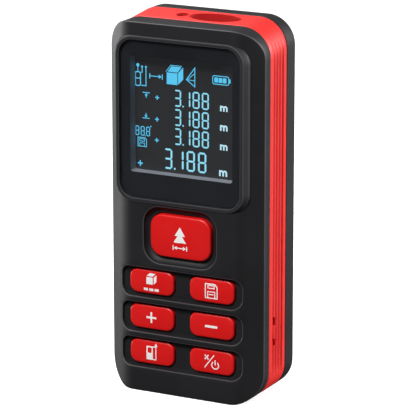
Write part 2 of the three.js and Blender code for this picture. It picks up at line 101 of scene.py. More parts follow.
def rounded(width, height, radius, x=0.0, z=0.0, inset=0.0, arc=8, spacing=3.0):
    """The outline of a rectangle with round corners, centred on (x, z)."""
    w, h = width / 2, height / 2
    return outline(rectangle(x - w, z - h, x + w, z + h), radius, inset, arc, spacing)


def rectangle(left, low, right, high):
    """The four corners of a rectangle, anticlockwise from the lower left."""
    return [(left, low), (right, low), (right, high), (left, high)]


def circle(radius, x=0.0, z=0.0, steps=48):
    """A round outline of the given number of points."""
    angle = np.arange(steps) * 2 * math.pi / steps
    return np.stack([x + radius * np.cos(angle), z + radius * np.sin(angle)], 1)


def curve(x, z, radius, start, stop, steps=16):
    """Part of a circle as a path, with its angles in degrees."""
    angle = np.radians(np.linspace(start, stop, steps + 1))
    return np.stack([x + radius * np.cos(angle), z + radius * np.sin(angle)], 1)


def stroke(path, width, closed=False):
    """A line of even width as (edge, holes): each side is the path moved by half the width
    along the normal, lengthened at a bend so that the width stays even."""
    path = np.asarray(path, float)
    ahead = np.roll(path, -1, 0) - path
    ahead /= np.hypot(ahead[:, 0], ahead[:, 1])[:, None]
    normal = np.stack([-ahead[:, 1], ahead[:, 0]], 1)
    if not closed:
        normal[-1] = normal[-2]
    came = np.roll(normal, 1, 0)
    if not closed:
        came[0] = normal[0]
    mitre = (came + normal) / (1 + (came * normal).sum(1))[:, None]
    left, right = path + mitre * width / 2, path - mitre * width / 2
    if not closed:
        return np.concatenate([right, left[::-1]]), []
    wide, narrow = (right, left) if np.ptp(right[:, 0]) > np.ptp(left[:, 0]) else (left, right)
    return wide, [narrow]


def cross_outline(reach, half):
    """The corners of an even cross, from how far its arms reach and half their width: three
    corners, then the same three a quarter turn further round each time."""
    corners = [np.array([(-reach, -half), (-half, -half), (-half, -reach)])]
    for _ in range(3):
        x, z = corners[-1].T
        corners.append(np.stack([-z, x], 1))
    return np.concatenate(corners)


def finer(loop, step, bulge=0.003):
    """The same outline with points added so that none is further than step from the next.
    Each edge bows out by a hair, inwards for a hole, so that no three points are in line."""
    loop = np.asarray(loop, float)
    following = np.roll(loop, -1, 0)
    area = (loop[:, 0] * following[:, 1] - loop[:, 1] * following[:, 0]).sum()
    counts = np.ceil(np.hypot(*(following - loop).T) / step).astype(int).clip(1)
    start = np.repeat(np.arange(len(loop)), counts)
    share = (np.arange(counts.sum()) - np.repeat(np.cumsum(counts) - counts, counts)) / counts[start]
    ahead = (following - loop)[start]
    out = np.stack([ahead[:, 1], -ahead[:, 0]], 1) * np.sign(area) / np.hypot(*ahead.T)[:, None]
    return loop[start] + ahead * share[:, None] + out * (4 * bulge * share * (1 - share))[:, None]


def lift(loop, depth):
    """Stands an (x, z) outline at a depth: a number, or one for each point."""
    loop = np.asarray(loop, float)
    return np.stack([loop[:, 0], np.broadcast_to(depth, len(loop)), loop[:, 1]], 1)


def level(loop, height):
    """Lays an (x, y) outline at a height: a number, or one for each point."""
    loop = np.asarray(loop, float)
    return np.stack([loop[:, 0], loop[:, 1], np.broadcast_to(height, len(loop))], 1)


print("a test outline has", len(rounded(20, 10, 2)), "points")

# %% [markdown]
# ## Surfaces
# There are only two kinds of surface here. A loft joins a row of outlines by four-sided faces.
# A sheet fills an outline, leaving its holes open, and can be lifted onto a curved face.
# The two share their edge points exactly, so merging close points makes one closed skin.
# %% Surfaces


def loft(rings, around=True, back_to_first=False):
    """Four-sided faces between each ring of points and the next."""
    rings = np.asarray(rings, float)
    rows, count = rings.shape[:2]
    i = np.arange(rows if back_to_first else rows - 1)[:, None]
    j = np.arange(count if around else count - 1)[None, :]
    here, there = i * count, (i + 1) % rows * count
    step = (j + 1) % count
    faces = np.stack([here + j, here + step, there + step, there + j], -1)
    return rings.reshape(-1, 3), faces.reshape(-1, 4).tolist()


def within(loop, points):
    """True for each point that lies inside the loop, counting crossings of a ray to the right."""
    a, b, p = loop[None], np.roll(loop, -1, 0)[None], points[:, None]
    spans = (a[..., 1] > p[..., 1]) != (b[..., 1] > p[..., 1])
    rise = np.where(spans, b[..., 1] - a[..., 1], 1.0)
    crossing = a[..., 0] + (p[..., 1] - a[..., 1]) * (b[..., 0] - a[..., 0]) / rise
    return (spans & (p[..., 0] < crossing)).sum(1) % 2 == 1


def sheet(edge, holes=(), depth=0.0, grid=None):
    """Triangles that fill an outline but not its holes. depth is a number or a function of
    (x, z), and grid is the (x, z) spacing of the points that follow a curved depth."""
    loops = [np.asarray(edge, float), *[np.asarray(hole, float) for hole in holes]]
    flat = np.concatenate(loops)
    if grid:
        low, high = loops[0].min(0), loops[0].max(0)
        across = np.arange(low[0] + grid[0] / 2, high[0], grid[0])
        up = np.arange(low[1] + grid[1] / 2, high[1], grid[1])
        spare = np.stack(np.meshgrid(across, up), -1).reshape(-1, 2)
        keep = within(loops[0], spare)
        for hole in loops[1:]:
            keep &= ~within(hole, spare)
        spare = spare[keep]
        gap = np.hypot(*(spare[:, None] - flat[None]).transpose(2, 0, 1)).min(1)
        spare = spare[gap > 0.4 * min(grid)]
    ends = np.cumsum([len(loop) for loop in loops])
    edges = []
    for loop, end in zip(loops, ends):
        index = np.arange(end - len(loop), end)
        edges += np.stack([index, np.roll(index, -1)], 1).tolist()
    points = np.concatenate([flat, spare]) if grid else flat
    result = delaunay_2d_cdt(points.tolist(), edges, [], 0, 1e-6)
    points, faces = np.array(result[0], float), np.array(result[2], int)
    middle = points[faces].mean(1)
    keep = within(loops[0], middle)
    for hole in loops[1:]:
        keep &= ~within(hole, middle)
    height = depth(points[:, 0], points[:, 1]) if callable(depth) else depth
    return lift(points, height), faces[keep].tolist()


def prism(edge, holes, front, rear, grid=None):
    """A solid with the same outline all through. Its two ends are numbers or functions."""
    parts = [sheet(edge, holes, front, grid), sheet(edge, holes, rear, grid)]
    for loop in [edge, *holes]:
        loop = np.asarray(loop, float)
        ends = [side(loop[:, 0], loop[:, 1]) if callable(side) else side for side in (front, rear)]
        parts.append(loft([lift(loop, end) for end in ends]))
    return parts


def lathe(profile, steps=48):
    """A profile of (radius, height) turned about the Z axis; it starts and ends on the axis."""
    angle = np.arange(steps) * 2 * math.pi / steps
    ring = np.stack([np.cos(angle), np.sin(angle)], 1)
    return loft([level(ring * radius, height) for radius, height in profile])


def moved(part, x=0.0, y=0.0, z=0.0, flip=False):
    """The same part carried to a place, turned end for end first if flip is set."""
    points = part[0] * ((1, -1, -1) if flip else (1, 1, 1))
    return points + (x, y, z), part[1]


def box(low, high):
    """A plain block between two corners."""
    return prism(rectangle(low[0], low[2], high[0], high[2]), [], low[1], high[1])


def painted_highlight(part, highlight_shares):
    """The same loft with a share of painted highlight, nought to one, for each of its rings."""
    count = len(part[0]) // len(highlight_shares)
    return (*part, np.repeat(np.asarray(highlight_shares, float), count))


def make_piece(name, parts, finish, body, stands_for=(), sharp=32):
    """One mesh from parts in millimetres: points that meet are merged and faces turned outwards.
    A part may carry a share of painted highlight for each point, kept as the attribute painted_highlight."""
    faces, start, highlight_per_point = [], 0, []
    for points, part_faces, *highlight_shares in parts:
        faces += [[start + corner for corner in face] for face in part_faces]
        start += len(points)
        # each point keeps its share of painted highlight, nought where none is given
        highlight_per_point.append(highlight_shares[0] if highlight_shares else np.zeros(len(points)))
    mesh = bpy.data.meshes.new(name)
    mesh.from_pydata((np.concatenate([part[0] for part in parts]) * MM).tolist(), [], faces)
    if any(share.any() for share in highlight_per_point):
        mesh.attributes.new("painted_highlight", "FLOAT", "POINT").data.foreach_set("value", np.concatenate(highlight_per_point))
    skin = bmesh.new()
    skin.from_mesh(mesh)
    bmesh.ops.remove_doubles(skin, verts=skin.verts, dist=2e-6)
    bmesh.ops.dissolve_degenerate(skin, edges=skin.edges, dist=1e-7)
    bmesh.ops.recalc_face_normals(skin, faces=skin.faces)
    open_edges = sum(edge.is_boundary for edge in skin.edges)
    skin.to_mesh(mesh)
    skin.free()
    mesh.shade_smooth()
    mesh.set_sharp_from_angle(angle=math.radians(sharp))
    mesh.materials.append(finish)
    piece = bpy.data.objects.new(name, mesh)
    bpy.context.scene.collection.objects.link(piece)
    if body:
        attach(piece, body)
    if stands_for:
        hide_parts(*stands_for)
    print(f"{name}: {len(mesh.polygons)} faces, {open_edges} open edges")
    return piece


def dress(node, parts, finish, body, sharp=32):
    """A piece that takes the place of the measured part of the same name."""
    return make_piece(node, parts, finish, body, [node], sharp)


def cut_away(piece, tools):
    """Cuts the tools out of a piece for good, and removes the tools."""
    for tool in tools:
        cutter = piece.modifiers.new("cut", "BOOLEAN")
        cutter.object = tool
        cutter.solver = "EXACT"
    bpy.context.view_layer.update()
    graph = bpy.context.evaluated_depsgraph_get()
    mesh = bpy.data.meshes.new_from_object(piece.evaluated_get(graph))
    piece.modifiers.clear()
    piece.data = mesh
    mesh.shade_smooth()
    mesh.set_sharp_from_angle(angle=math.radians(32))
    for tool in tools:
        bpy.data.objects.remove(tool)
    print(f"{piece.name}: {len(mesh.polygons)} faces once cut")


# %% [markdown]
# ## Finishes
# Each finish starts from what the material is called and how its surface was made.
# Plastics leave the mould with the fine grain that was sparked into the steel.
# Object coordinates are in metres, so a pattern of so many millimetres has scale 1000 / mm.
# %% Helpers for finishes


def linear(code, alpha=1.0):
    """An sRGB hex colour as the linear values that Blender mixes light with."""
    shade = np.array([int(code[i : i + 2], 16) for i in (1, 3, 5)]) / 255
    light = np.where(shade <= 0.04045, shade / 12.92, ((shade + 0.055) / 1.055) ** 2.4)
    return (*light.tolist(), alpha)


def add(tree, kind, sockets=(), **settings):
    """Adds a node. Settings are its own options. Sockets are inputs by name or number:
    a value that is another node's output is linked, and any other is set."""
    node = tree.nodes.new(kind)
    for option, value in settings.items():
        setattr(node, option, value)
    for key, value in dict(sockets).items():
        if isinstance(value, bpy.types.NodeSocket):
            tree.links.new(value, node.inputs[key])
        else:
            node.inputs[key].default_value = value
    return node


def blank(name):
    """A material without nodes, its node tree, and the place of each point in metres."""
    material = bpy.data.materials.new(name)
    material.use_nodes = True
    tree = material.node_tree
    tree.nodes.clear()
    return material, tree, add(tree, "ShaderNodeTexCoord").outputs["Object"]


def shader_of(material):
    """The node that holds the colour and gloss of a finish."""
    return next(node for node in material.node_tree.nodes if node.type == "BSDF_PRINCIPLED")


def grained(name, shades, rough, patch, grain, height, metallic=0.0, ior=1.5, coat=0.0):
    """A moulded, sprayed or drawn surface. shades are two near colours that drift into each
    other over patch millimetres, rough is the range of roughness over the same drift, and
    grain and height are the size and depth of the fine relief, also in millimetres."""
    material, tree, place = blank(name)
    drift = add(tree, "ShaderNodeTexNoise", {"Vector": place, "Scale": 1000 / patch, "Detail": 3.0})
    colour = add(
        tree,
        "ShaderNodeMix",
        {0: drift.outputs["Fac"], 6: linear(shades[0]), 7: linear(shades[1])},
        data_type="RGBA",
    )
    gloss = add(
        tree,
        "ShaderNodeMapRange",
        {
            "Value": drift.outputs["Fac"],
            "From Min": 0.3,
            "From Max": 0.7,
            "To Min": rough[0],
            "To Max": rough[1],
        },
    )
    fine = add(tree, "ShaderNodeTexNoise", {"Vector": place, "Scale": 1000 / grain, "Detail": 2.0})
    relief = add(tree, "ShaderNodeBump", {"Height": fine.outputs["Fac"], "Distance": height * MM})
    surface = add(
        tree,
        "ShaderNodeBsdfPrincipled",
        {
            "Base Color": colour.outputs[2],
            "Roughness": gloss.outputs["Result"],
            "Normal": relief.outputs["Normal"],
            "Metallic": metallic,
        },
    )
    if not metallic:
        surface.inputs["IOR"].default_value = ior
    surface.inputs["Coat Weight"].default_value = coat
    add(tree, "ShaderNodeOutputMaterial", {"Surface": surface.outputs["BSDF"]})
    return material


def paint_edge_highlight(material, code, rough):
    """A painted highlight: paler colour, and lower roughness, where the attribute painted_highlight marks
    an edge.
    """
    tree = material.node_tree
    surface = shader_of(material)
    share = add(tree, "ShaderNodeAttribute", attribute_name="painted_highlight").outputs["Fac"]
    colour = surface.inputs["Base Color"].links[0].from_socket
    gloss = surface.inputs["Roughness"].links[0].from_socket
    # painted highlight: the colour is mixed toward a paler grey by each point's share
    highlight_colour = add(tree, "ShaderNodeMix", {0: share, 6: colour, 7: linear(code)}, data_type="RGBA")
    finer_gloss = add(tree, "ShaderNodeMix", {0: share, 2: gloss, 3: rough})
    tree.links.new(highlight_colour.outputs[2], surface.inputs["Base Color"])
    tree.links.new(finer_gloss.outputs[0], surface.inputs["Roughness"])


def backlight_leak_and_fill(material, code):
    """A faint even glow over the panel: a little backlight through the shut cells, and painted light that
    fills in the shadow of the shroud.
    """
    surface = shader_of(material)
    surface.inputs["Emission Color"].default_value = linear(code)
    surface.inputs["Emission Strength"].default_value = 1.0


def glowing(name, code, strength):
    """Lit liquid-crystal figures: even light that falls off a little from place to place."""
    material, tree, place = blank(name)
    drift = add(tree, "ShaderNodeTexNoise", {"Vector": place, "Scale": 90.0})
    power = add(
        tree,
        "ShaderNodeMapRange",
        {"Value": drift.outputs["Fac"], "To Min": strength * 0.9, "To Max": strength * 1.1},
    )
    light = add(tree, "ShaderNodeEmission", {"Color": linear(code), "Strength": power.outputs["Result"]})
    add(tree, "ShaderNodeOutputMaterial", {"Surface": light.outputs["Emission"]})
    return material


def clear(name, tint, haze):
    """Clear plastic or glass thin enough to see straight through: by Fresnel's rule a little
    of the room is mirrored face on, and much more at a slant. Only the outer side mirrors,
    because light isn't bent here on its way in. haze is the range of roughness."""
    material, tree, place = blank(name)
    smear = add(tree, "ShaderNodeTexNoise", {"Vector": place, "Scale": 70.0, "Detail": 4.0})
    gloss = add(
        tree,
        "ShaderNodeMapRange",
        {
            "Value": smear.outputs["Fac"],
            "From Min": 0.35,
            "From Max": 0.7,
            "To Min": haze[0],
            "To Max": haze[1],
        },
    )
    mirror = add(tree, "ShaderNodeBsdfGlossy", {"Roughness": gloss.outputs["Result"]})
    through = add(tree, "ShaderNodeBsdfTransparent", {"Color": linear(tint)})
    share = add(tree, "ShaderNodeFresnel", {"IOR": 1.49})
    leaving = add(tree, "ShaderNodeNewGeometry").outputs["Backfacing"]
    outside = add(tree, "ShaderNodeMix", {0: leaving, 2: share.outputs[0], 3: 0.0})
    both = add(
        tree,
        "ShaderNodeMixShader",
        {0: outside.outputs[0], 1: through.outputs[0], 2: mirror.outputs[0]},
    )
    add(tree, "ShaderNodeOutputMaterial", {"Surface": both.outputs[0]})
    return material


print("finish helpers ready")

# %% [markdown]
# ## The finishes of this meter
# Soft-touch paint is a rubbery coat sprayed on ABS. It scatters nearly all light, so it looks
# deep grey-black with wide, weak highlights, and skin grease evens out its grain in patches.
# Its edges carry a painted highlight: a paler grey, with a smoother finish there.
# The band is thermoplastic rubber. Inside its openings a deeper red is painted as the shade of light
# bouncing from red to red, and the finish there is matt. The keys are hard ABS dyed in the mass.
# The panel is nearly black. A faint glow over all of it is a little backlight through the shut cells
# and also painted light that fills in the shadow of the shroud.
# %% Finishes
soft_touch = grained("soft_touch_paint", ("#121214", "#17171a"), (0.52, 0.64), 22, 0.35, 0.03, ior=1.45)
band_rubber = grained("moulded_red_rubber", ("#e0201c", "#e62823"), (0.5, 0.62), 12, 0.3, 0.02)
# painted shade: a deeper red inside the openings; the high roughness is the rubber's own
shaded_opening_rubber = grained("red_rubber_painted_shade", ("#a80200", "#b00400"), (0.85, 0.95), 12, 0.3, 0.02)
key_plastic = grained("red_key_abs", ("#dc0c0c", "#e21212"), (0.36, 0.46), 9, 0.35, 0.006)
key_ink = grained("white_pad_print", ("#f2f2f0", "#fbfbf9"), (0.45, 0.6), 4, 0.2, 0.002)
mask_ink = grained("black_screen_print", ("#1a1a1d", "#1f1f23"), (0.3, 0.4), 9, 0.3, 0.001)
screen_glass = grained("unlit_liquid_crystal", ("#1c1c1d", "#202021"), (0.25, 0.35), 14, 0.4, 0.0005)
# painted light: the faint glow also evens out the shadow of the shroud on the panel
backlight_leak_and_fill(screen_glass, "#1f1f20")
shroud_plastic = grained("grey_light_shroud", ("#918f96", "#99979e"), (0.5, 0.65), 8, 0.25, 0.003)
# painted highlight on the edges of the paint: a paler grey; the lower roughness there is the finish
paint_edge_highlight(soft_touch, "#58585c", 0.36)
acrylic = clear("clear_acrylic_window", "#f9fbfc", (0.02, 0.06))
symbol_light = glowing("lit_symbols", "#60cdf6", 1.05)
figure_light = glowing("lit_figures", "#98e4fa", 1.05)
unit_light = glowing("lit_units", "#c9f1ff", 1.0)
dark_plastic = grained("black_nylon", ("#161719", "#1d1e20"), (0.45, 0.6), 10, 0.3, 0.006)
grey_plastic = grained("grey_acetal", ("#8b8a90", "#97969c"), (0.35, 0.45), 6, 0.3, 0.003)
white_plastic = grained("white_diffuser", ("#dfe2e6", "#e8ebee"), (0.4, 0.5), 15, 0.4, 0.002)
mat_rubber = grained("grey_silicone_mat", ("#2a2a2c", "#343437"), (0.6, 0.75), 10, 0.3, 0.006)
solder_mask = grained("green_solder_mask", ("#17502d", "#1f6239"), (0.3, 0.42), 12, 0.5, 0.01)
ribbon_film = grained("amber_polyimide", ("#a9661f", "#bc7a30"), (0.28, 0.4), 8, 0.4, 0.004)
plated_steel = grained(
    "zinc_plated_steel", ("#b4b7ba", "#c3c5c6"), (0.28, 0.42), 5, 0.2, 0.003, metallic=1.0
)
nickel = grained(
    "nickel_plated_spring_strip", ("#c2beb2", "#d0ccc2"), (0.22, 0.36), 5, 0.3, 0.003, metallic=1.0
)
brass = grained("turned_brass", ("#b98f45", "#c9a158"), (0.25, 0.38), 5, 0.2, 0.003, metallic=1.0)
coated_glass = grained(
    "coated_optic_glass", ("#39424e", "#46405a"), (0.04, 0.08), 14, 0.5, 0.0002, coat=1.0
)
print("finishes:", len(bpy.data.materials))

# %% [markdown]
# ## Measures
# The outer sizes are read from the measured parts. The face's curve, the corner radius,
# the window opening and the small fillets are given here.
# %% Measures
shell_low, shell_high = span("front_shell")
band_low, band_high = span("mid_band")
rear_high = span("rear_shell")[1]
door_low, door_high = span("battery_door")
lens_low, lens_high = span("window_lens")
screen_low, screen_high = span("lcd_panel")
HALF_WIDTH = shell_high[0]
FRONT_HEIGHT = shell_high[2]
REAR_HEIGHT = rear_high[2]
BEZEL_Y = shell_low[1]
SHELL_REAR_Y = shell_high[1]
REAR_FACE_Y = rear_high[1]
REAR_FRONT_Y = band_high[1] + 0.15
CORNER = 9.0
FACE_Y = BEZEL_Y + 0.4
FLAT_X = 16.0
BEND_X = 21.4
BEND_DROP = 1.87
BEVEL_SLOPE = 3.58 / 4.6
EDGE = 0.4
WINDOW_Z = (lens_low[2] + lens_high[2]) / 2
SCREEN_Z = (screen_low[2] + screen_high[2]) / 2
APERTURE = (34.4, 35.6, 0.8)
KEY_NAMES = ("measure", "menu", "save", "plus", "minus", "reference", "clear_power")
FLANGE = 0.6


def key_shape(word):
    """Width, height, corner radius, centre x, centre z and face depth of one key."""
    low, high = span(f"{word}_key")
    width, height = high[0] - low[0] - 2 * FLANGE, high[2] - low[2] - 2 * FLANGE
    radius = 4.0 if word == "measure" else 2.6
    return width, height, radius, (low[0] + high[0]) / 2, (low[2] + high[2]) / 2, low[1]


KEYS = {word: key_shape(word) for word in KEY_NAMES}


def face_depth(x):
    """Depth of the front face at x: flat in the middle, a short curve, then a straight bevel."""
    out = np.abs(x)
    turn = 5 - np.sqrt(np.maximum(0, 25 - (np.clip(out, FLAT_X, BEND_X) - FLAT_X) / 0.6))
    return FACE_Y + BEND_DROP * turn**2 + np.maximum(0, out - BEND_X) * BEVEL_SLOPE


def key_outline(word, grow=0.0):
    """The outline of a key, or of its hole when grown by the gap round it."""
    width, height, radius, x, z, _ = KEYS[word]
    return rounded(width, height, radius, x, z, inset=-grow, arc=10, spacing=1.5)


print("case", 2 * HALF_WIDTH, "x", REAR_HEIGHT, "keys", len(KEYS))

# %% [markdown]
# ## Front shell
# The front shell is one moulding: a flat face that bends into two wide bevels, with a raised
# frame round the window, a dished well round the large key and three troughs for the rest.
# Each feature is a loft of outlines, and one curved sheet fills the face between them.
# The rings on an edge also carry a share of painted highlight, for the finish to read.
# %% Front shell
KEY_GAP = 0.3
PAD_REAR_Y = -10.2
FRAME_STEPS = (31, 39)
FRAME_RUN = 0.9
FRAME_DROP = 1.6
FRAME_WIDER = 4.4
FRAME_CORNER = 6.7
OPENING_WIDER = 1.6
OPENING_CORNER = 1.4


def shell_outline(inset):
    """The front shell seen from the front."""
    return rounded(
        2 * HALF_WIDTH, FRONT_HEIGHT, CORNER, 0, FRONT_HEIGHT / 2, inset, arc=16, spacing=2.0
    )


def shell_edge():
    """The rounded rim of the face, the upright wall behind it, and the wall's inner side."""
    rings = []
    for angle in np.radians(np.linspace(0, 90, 7)):
        loop = shell_outline(EDGE * (1 - math.sin(angle)))
        rings.append(lift(loop, face_depth(loop[:, 0]) + EDGE * (1 - math.cos(angle))))
    rear = [(0, -0.3), (0.05, -0.1), (0.2, 0), (2, 0), (2, -3), (4.6, PAD_REAR_Y - SHELL_REAR_Y)]
    rings += [lift(shell_outline(inset), SHELL_REAR_Y + y) for inset, y in rear]
    # painted highlight: each ring's share of paler colour, most at the rounded rim
    highlight_shares = [0, 0, 0.4, 0.7, 0.3, 0, 0] + [0, 0.4, 0, 0, 0, 0]
    return painted_highlight(loft(rings), highlight_shares)


def bezel_frame():
    """The raised frame: its slope starts where it meets the curved face, found by halving."""
    width, height = lens_high[0] - lens_low[0], lens_high[2] - lens_low[2]

    def frame_loop(inset):
        size = (width + FRAME_WIDER, height + FRAME_WIDER, FRAME_CORNER)
        return rounded(*size, 0, WINDOW_Z, inset, 12, FRAME_STEPS)

    wide, narrow = frame_loop(0), frame_loop(FRAME_RUN)
    low, high = np.zeros(len(wide)), np.ones(len(wide))
    for _ in range(24):
        middle = (low + high) / 2
        x = wide[:, 0] + (narrow - wide)[:, 0] * middle
        buried = BEZEL_Y + FRAME_DROP * (1 - middle) > face_depth(x)
        low, high = np.where(buried, middle, low), np.where(buried, high, middle)
    foot = wide + (narrow - wide) * high[:, None]
    rings = [
        lift(foot, face_depth(foot[:, 0])),
        lift(foot, np.minimum(face_depth(foot[:, 0]), BEZEL_Y + FRAME_DROP * (1 - high))),
    ]
    slope = [(0.8, 0.18), (0.92, 0.05), (1.1, 0), (1.8, 0), (1.94, 0.04), (2.0, 0.18), (2.0, 1.5)]
    for inset, y in slope:
        loop = np.where(high[:, None] > inset / FRAME_RUN, foot, frame_loop(inset))
        rings.append(lift(loop, BEZEL_Y + y))
    opening = (APERTURE[0] + OPENING_WIDER, APERTURE[1] + OPENING_WIDER, OPENING_CORNER, 0, SCREEN_Z)
    for grow, y in ((0, -12.5), (0, -11.2), (1.0, -11.15), (1.0, PAD_REAR_Y)):
        rings.append(lift(rounded(*opening, -grow, 12, FRAME_STEPS), y))
    # painted highlight: paler lines along the frame's outer and inner top edges
    highlight_shares = [0, 0, 0.1, 0.8, 0.1, 0.1, 0.9, 0.2, 0] + [0, 0, 0, 0]
    return foot, rings[-1][:, [0, 2]], painted_highlight(loft(rings), highlight_shares)


def key_recess(size, centre_z, rim_profile, holes):
    """A dished recess: rings from the rim on the face down to the floor. rim_profile gives
    (grow, drop below the face, depth), where a depth that is given holds instead of the drop."""
    rings = []
    for grow, drop, depth in rim_profile:
        loop = rounded(*size, 0, centre_z, -grow, 10, (40, 12))
        rings.append(lift(loop, face_depth(loop[:, 0]) + drop if depth is None else depth))
    rim, floor = rings[0][:, [0, 2]], rings[-1][:, [0, 2]]
    # painted highlight: a paler line round the rim of the recess
    highlight_shares = [0, 0.8, 0.5] + [0] * (len(rings) - 3)
    return rim, [painted_highlight(loft(rings), highlight_shares), sheet(floor, holes, rim_profile[-1][2])]


def hole_wall(loop, front):
    """The upright wall of a key's hole, from the recess floor to the rear of the pad."""
    return loft([lift(loop, front), lift(loop, PAD_REAR_Y)])


WELL = (24.6, 17.7, 5.5)
TROUGH = (41, 9.35, 3.2)
WELL_PROFILE = [
    (0.35, 0, None),
    (0.14, 0.05, None),
    (0.02, 0.2, None),
    (-0.02, 0.5, None),
    (-0.12, 0, -12.85),
    (-0.35, 0, -12.45),
    (-0.65, 0, -12.1),
    (-1.0, 0, -11.82),
    (-1.35, 0, -11.65),
    (-1.65, 0, -11.6),
]
TROUGH_PROFILE = [
    (0.32, 0, None),
    (0.12, 0.05, None),
    (0.02, 0.18, None),
    (-0.02, 0.32, None),
    (-0.3, 0, -11.62),
    (-0.4, 0, -11.4),
]
frame_foot, opening_rear, frame_part = bezel_frame()
shell_parts = [shell_edge(), frame_part]
face_holes = [frame_foot]
pad_holes = [opening_rear]
well_z = KEYS["measure"][4]
hole = key_outline("measure", KEY_GAP)
rim, parts = key_recess(WELL, well_z, WELL_PROFILE, [hole])
shell_parts += [*parts, hole_wall(hole, WELL_PROFILE[-1][2])]
face_holes.append(rim)
pad_holes.append(hole)
for left, right in (("menu", "save"), ("plus", "minus"), ("reference", "clear_power")):
    holes = [key_outline(left, KEY_GAP), key_outline(right, KEY_GAP)]
    rim, parts = key_recess(TROUGH, KEYS[left][4], TROUGH_PROFILE, holes)
    shell_parts += [*parts, *[hole_wall(hole, TROUGH_PROFILE[-1][2]) for hole in holes]]
    face_holes.append(rim)
    pad_holes += holes
shell_parts.append(
    sheet(shell_outline(EDGE), face_holes, lambda x, z: face_depth(x), grid=(0.8, 2.4))
)
shell_parts.append(sheet(shell_outline(4.6), pad_holes, PAD_REAR_Y))
dress("front_shell", shell_parts, soft_touch, "housing", sharp=24)

# %% [markdown]
# ## Red band
# The band is moulded rubber, a little wider at the rear than at the front, so each ring of
# points is scaled in height by its depth. Four grooves a side leave three rounded ribs.
# Each groove fades out at its ends. The openings in the top are cut once the ring is whole,
# and the faces inside them then take their own matt finish, painted a deeper red as shade.
# %% Red band
GROOVES_Y = np.array([-2.25, -0.28, 1.68, 3.65])
GROOVE_DEPTH = 0.7
GROOVE_END = 0.6
BETWEEN_POWER, END_POWER = 1.8, 1.5
FADE_LOW, FADE_HIGH, FADE_SIDE = (5.5, 5), (111, 9), (22.5, 2.5)
BAND_WALL = 2.0
ROOF_Z = 111.8
JOINT_GAP = 0.075
RECEIVER_X = 4.75
RECEIVER_HOLE = (8.6, 4.0)
BEAM_HOLE = 1.95
LIP = 0.05
NEAR_UPRIGHT = 0.3
OPENINGS_WITHIN = (15, 4.3)


def top_height(y):
    """Height of the case at a depth: it grows evenly from the front shell to the rear shell."""
    start, stop = SHELL_REAR_Y + JOINT_GAP, REAR_FRONT_Y - JOINT_GAP
    return FRONT_HEIGHT + (REAR_HEIGHT - FRONT_HEIGHT) * (np.asarray(y) - start) / (stop - start)


def smooth(value):
    """Nought to one with a soft start and end."""
    value = np.clip(value, 0, 1)
    return value * value * (3 - 2 * value)


def groove(y):
    """Depth of the grooves across the band: a rib is a rounded arch between two grooves."""
    away = np.abs(y - GROOVES_Y).min()
    between = GROOVES_Y[0] < y < GROOVES_Y[-1]
    reach = (GROOVES_Y[1] - GROOVES_Y[0]) / 2 if between else GROOVE_END
    return GROOVE_DEPTH * max(0.0, 1 - away / reach) ** (BETWEEN_POWER if between else END_POWER)


def band_ring(inset, y, cut=0.0, inner=False):
    """One ring of the band. cut is the groove depth there, faded out towards the ends."""
    loop = rounded(2 * HALF_WIDTH, FRONT_HEIGHT, CORNER, 0, FRONT_HEIGHT / 2, inset, 14, (30, 70))
    fade = smooth((np.abs(loop[:, 0]) - FADE_SIDE[0]) / FADE_SIDE[1])
    fade *= smooth((loop[:, 1] - FADE_LOW[0]) / FADE_LOW[1])
    fade *= smooth((FADE_HIGH[0] - loop[:, 1]) / FADE_HIGH[1])
    x = loop[:, 0] - np.sign(loop[:, 0]) * cut * fade
    z = loop[:, 1] * top_height(y) / FRONT_HEIGHT
    if inner:
        z = np.minimum(z, ROOF_Z)
    return np.stack([x, np.full(len(x), y), z], 1)


front_y, back_y = band_low[1], band_high[1]
rings = [band_ring(BAND_WALL, front_y, inner=True)]
rings += [band_ring(inset, front_y + y) for inset, y in ((0.4, 0), (0.12, 0.08), (0, 0.35))]
for y in np.arange(-3.0, 4.41, 0.11):
    rings.append(band_ring(0, y, groove(y)))
rings += [band_ring(inset, back_y - y) for inset, y in ((0, 0.35), (0.12, 0.08), (0.4, 0))]
rings.append(band_ring(BAND_WALL, back_y, inner=True))
rings.append(band_ring(BAND_WALL, (front_y + back_y) / 2, inner=True))
band = dress("mid_band", [loft(rings, back_to_first=True)], band_rubber, "housing")


def top_opening(name, path):
    """A tool for an opening in the top: upright walls that flare by a small chamfer at the lip."""
    path = np.asarray(path, float)
    middle = path.mean(0)
    out = (path - middle) / np.hypot(*(path - middle).T)[:, None]
    lip = top_height(path[:, 1])
    rings = [level(middle + (path - middle) * 0, ROOF_Z - 4), level(path, ROOF_Z - 4)]
    rings += [level(path, lip - 0.3), level(path + out * LIP, lip - 0.06)]
    rings += [level(path + out * 0.4, lip + 0.3), level(path + out * 0.4, 120)]
    rings.append(level(middle + (path - middle) * 0, 120))
    return make_piece(name, [loft(rings)], band_rubber, None)


def paint_opening_shade(piece, finish):
    """Gives the upright faces inside the openings of the top a matt finish painted a deeper red as shade.
    """
    piece.data.materials.append(finish)
    count = len(piece.data.polygons)
    centres, normals = np.zeros(count * 3), np.zeros(count * 3)
    piece.data.polygons.foreach_get("center", centres)
    piece.data.polygons.foreach_get("normal", normals)
    centres, normals = centres.reshape(-1, 3) / MM, normals.reshape(-1, 3)
    inside = (np.abs(normals[:, 2]) < NEAR_UPRIGHT) & (centres[:, 2] > ROOF_Z)
    inside &= np.abs(centres[:, 0]) < OPENINGS_WITHIN[0]
    inside &= np.abs(centres[:, 1] - receiver[1]) < OPENINGS_WITHIN[1]
    piece.data.polygons.foreach_set("material_index", inside.astype(int))
    print("faces inside the openings:", int(inside.sum()))


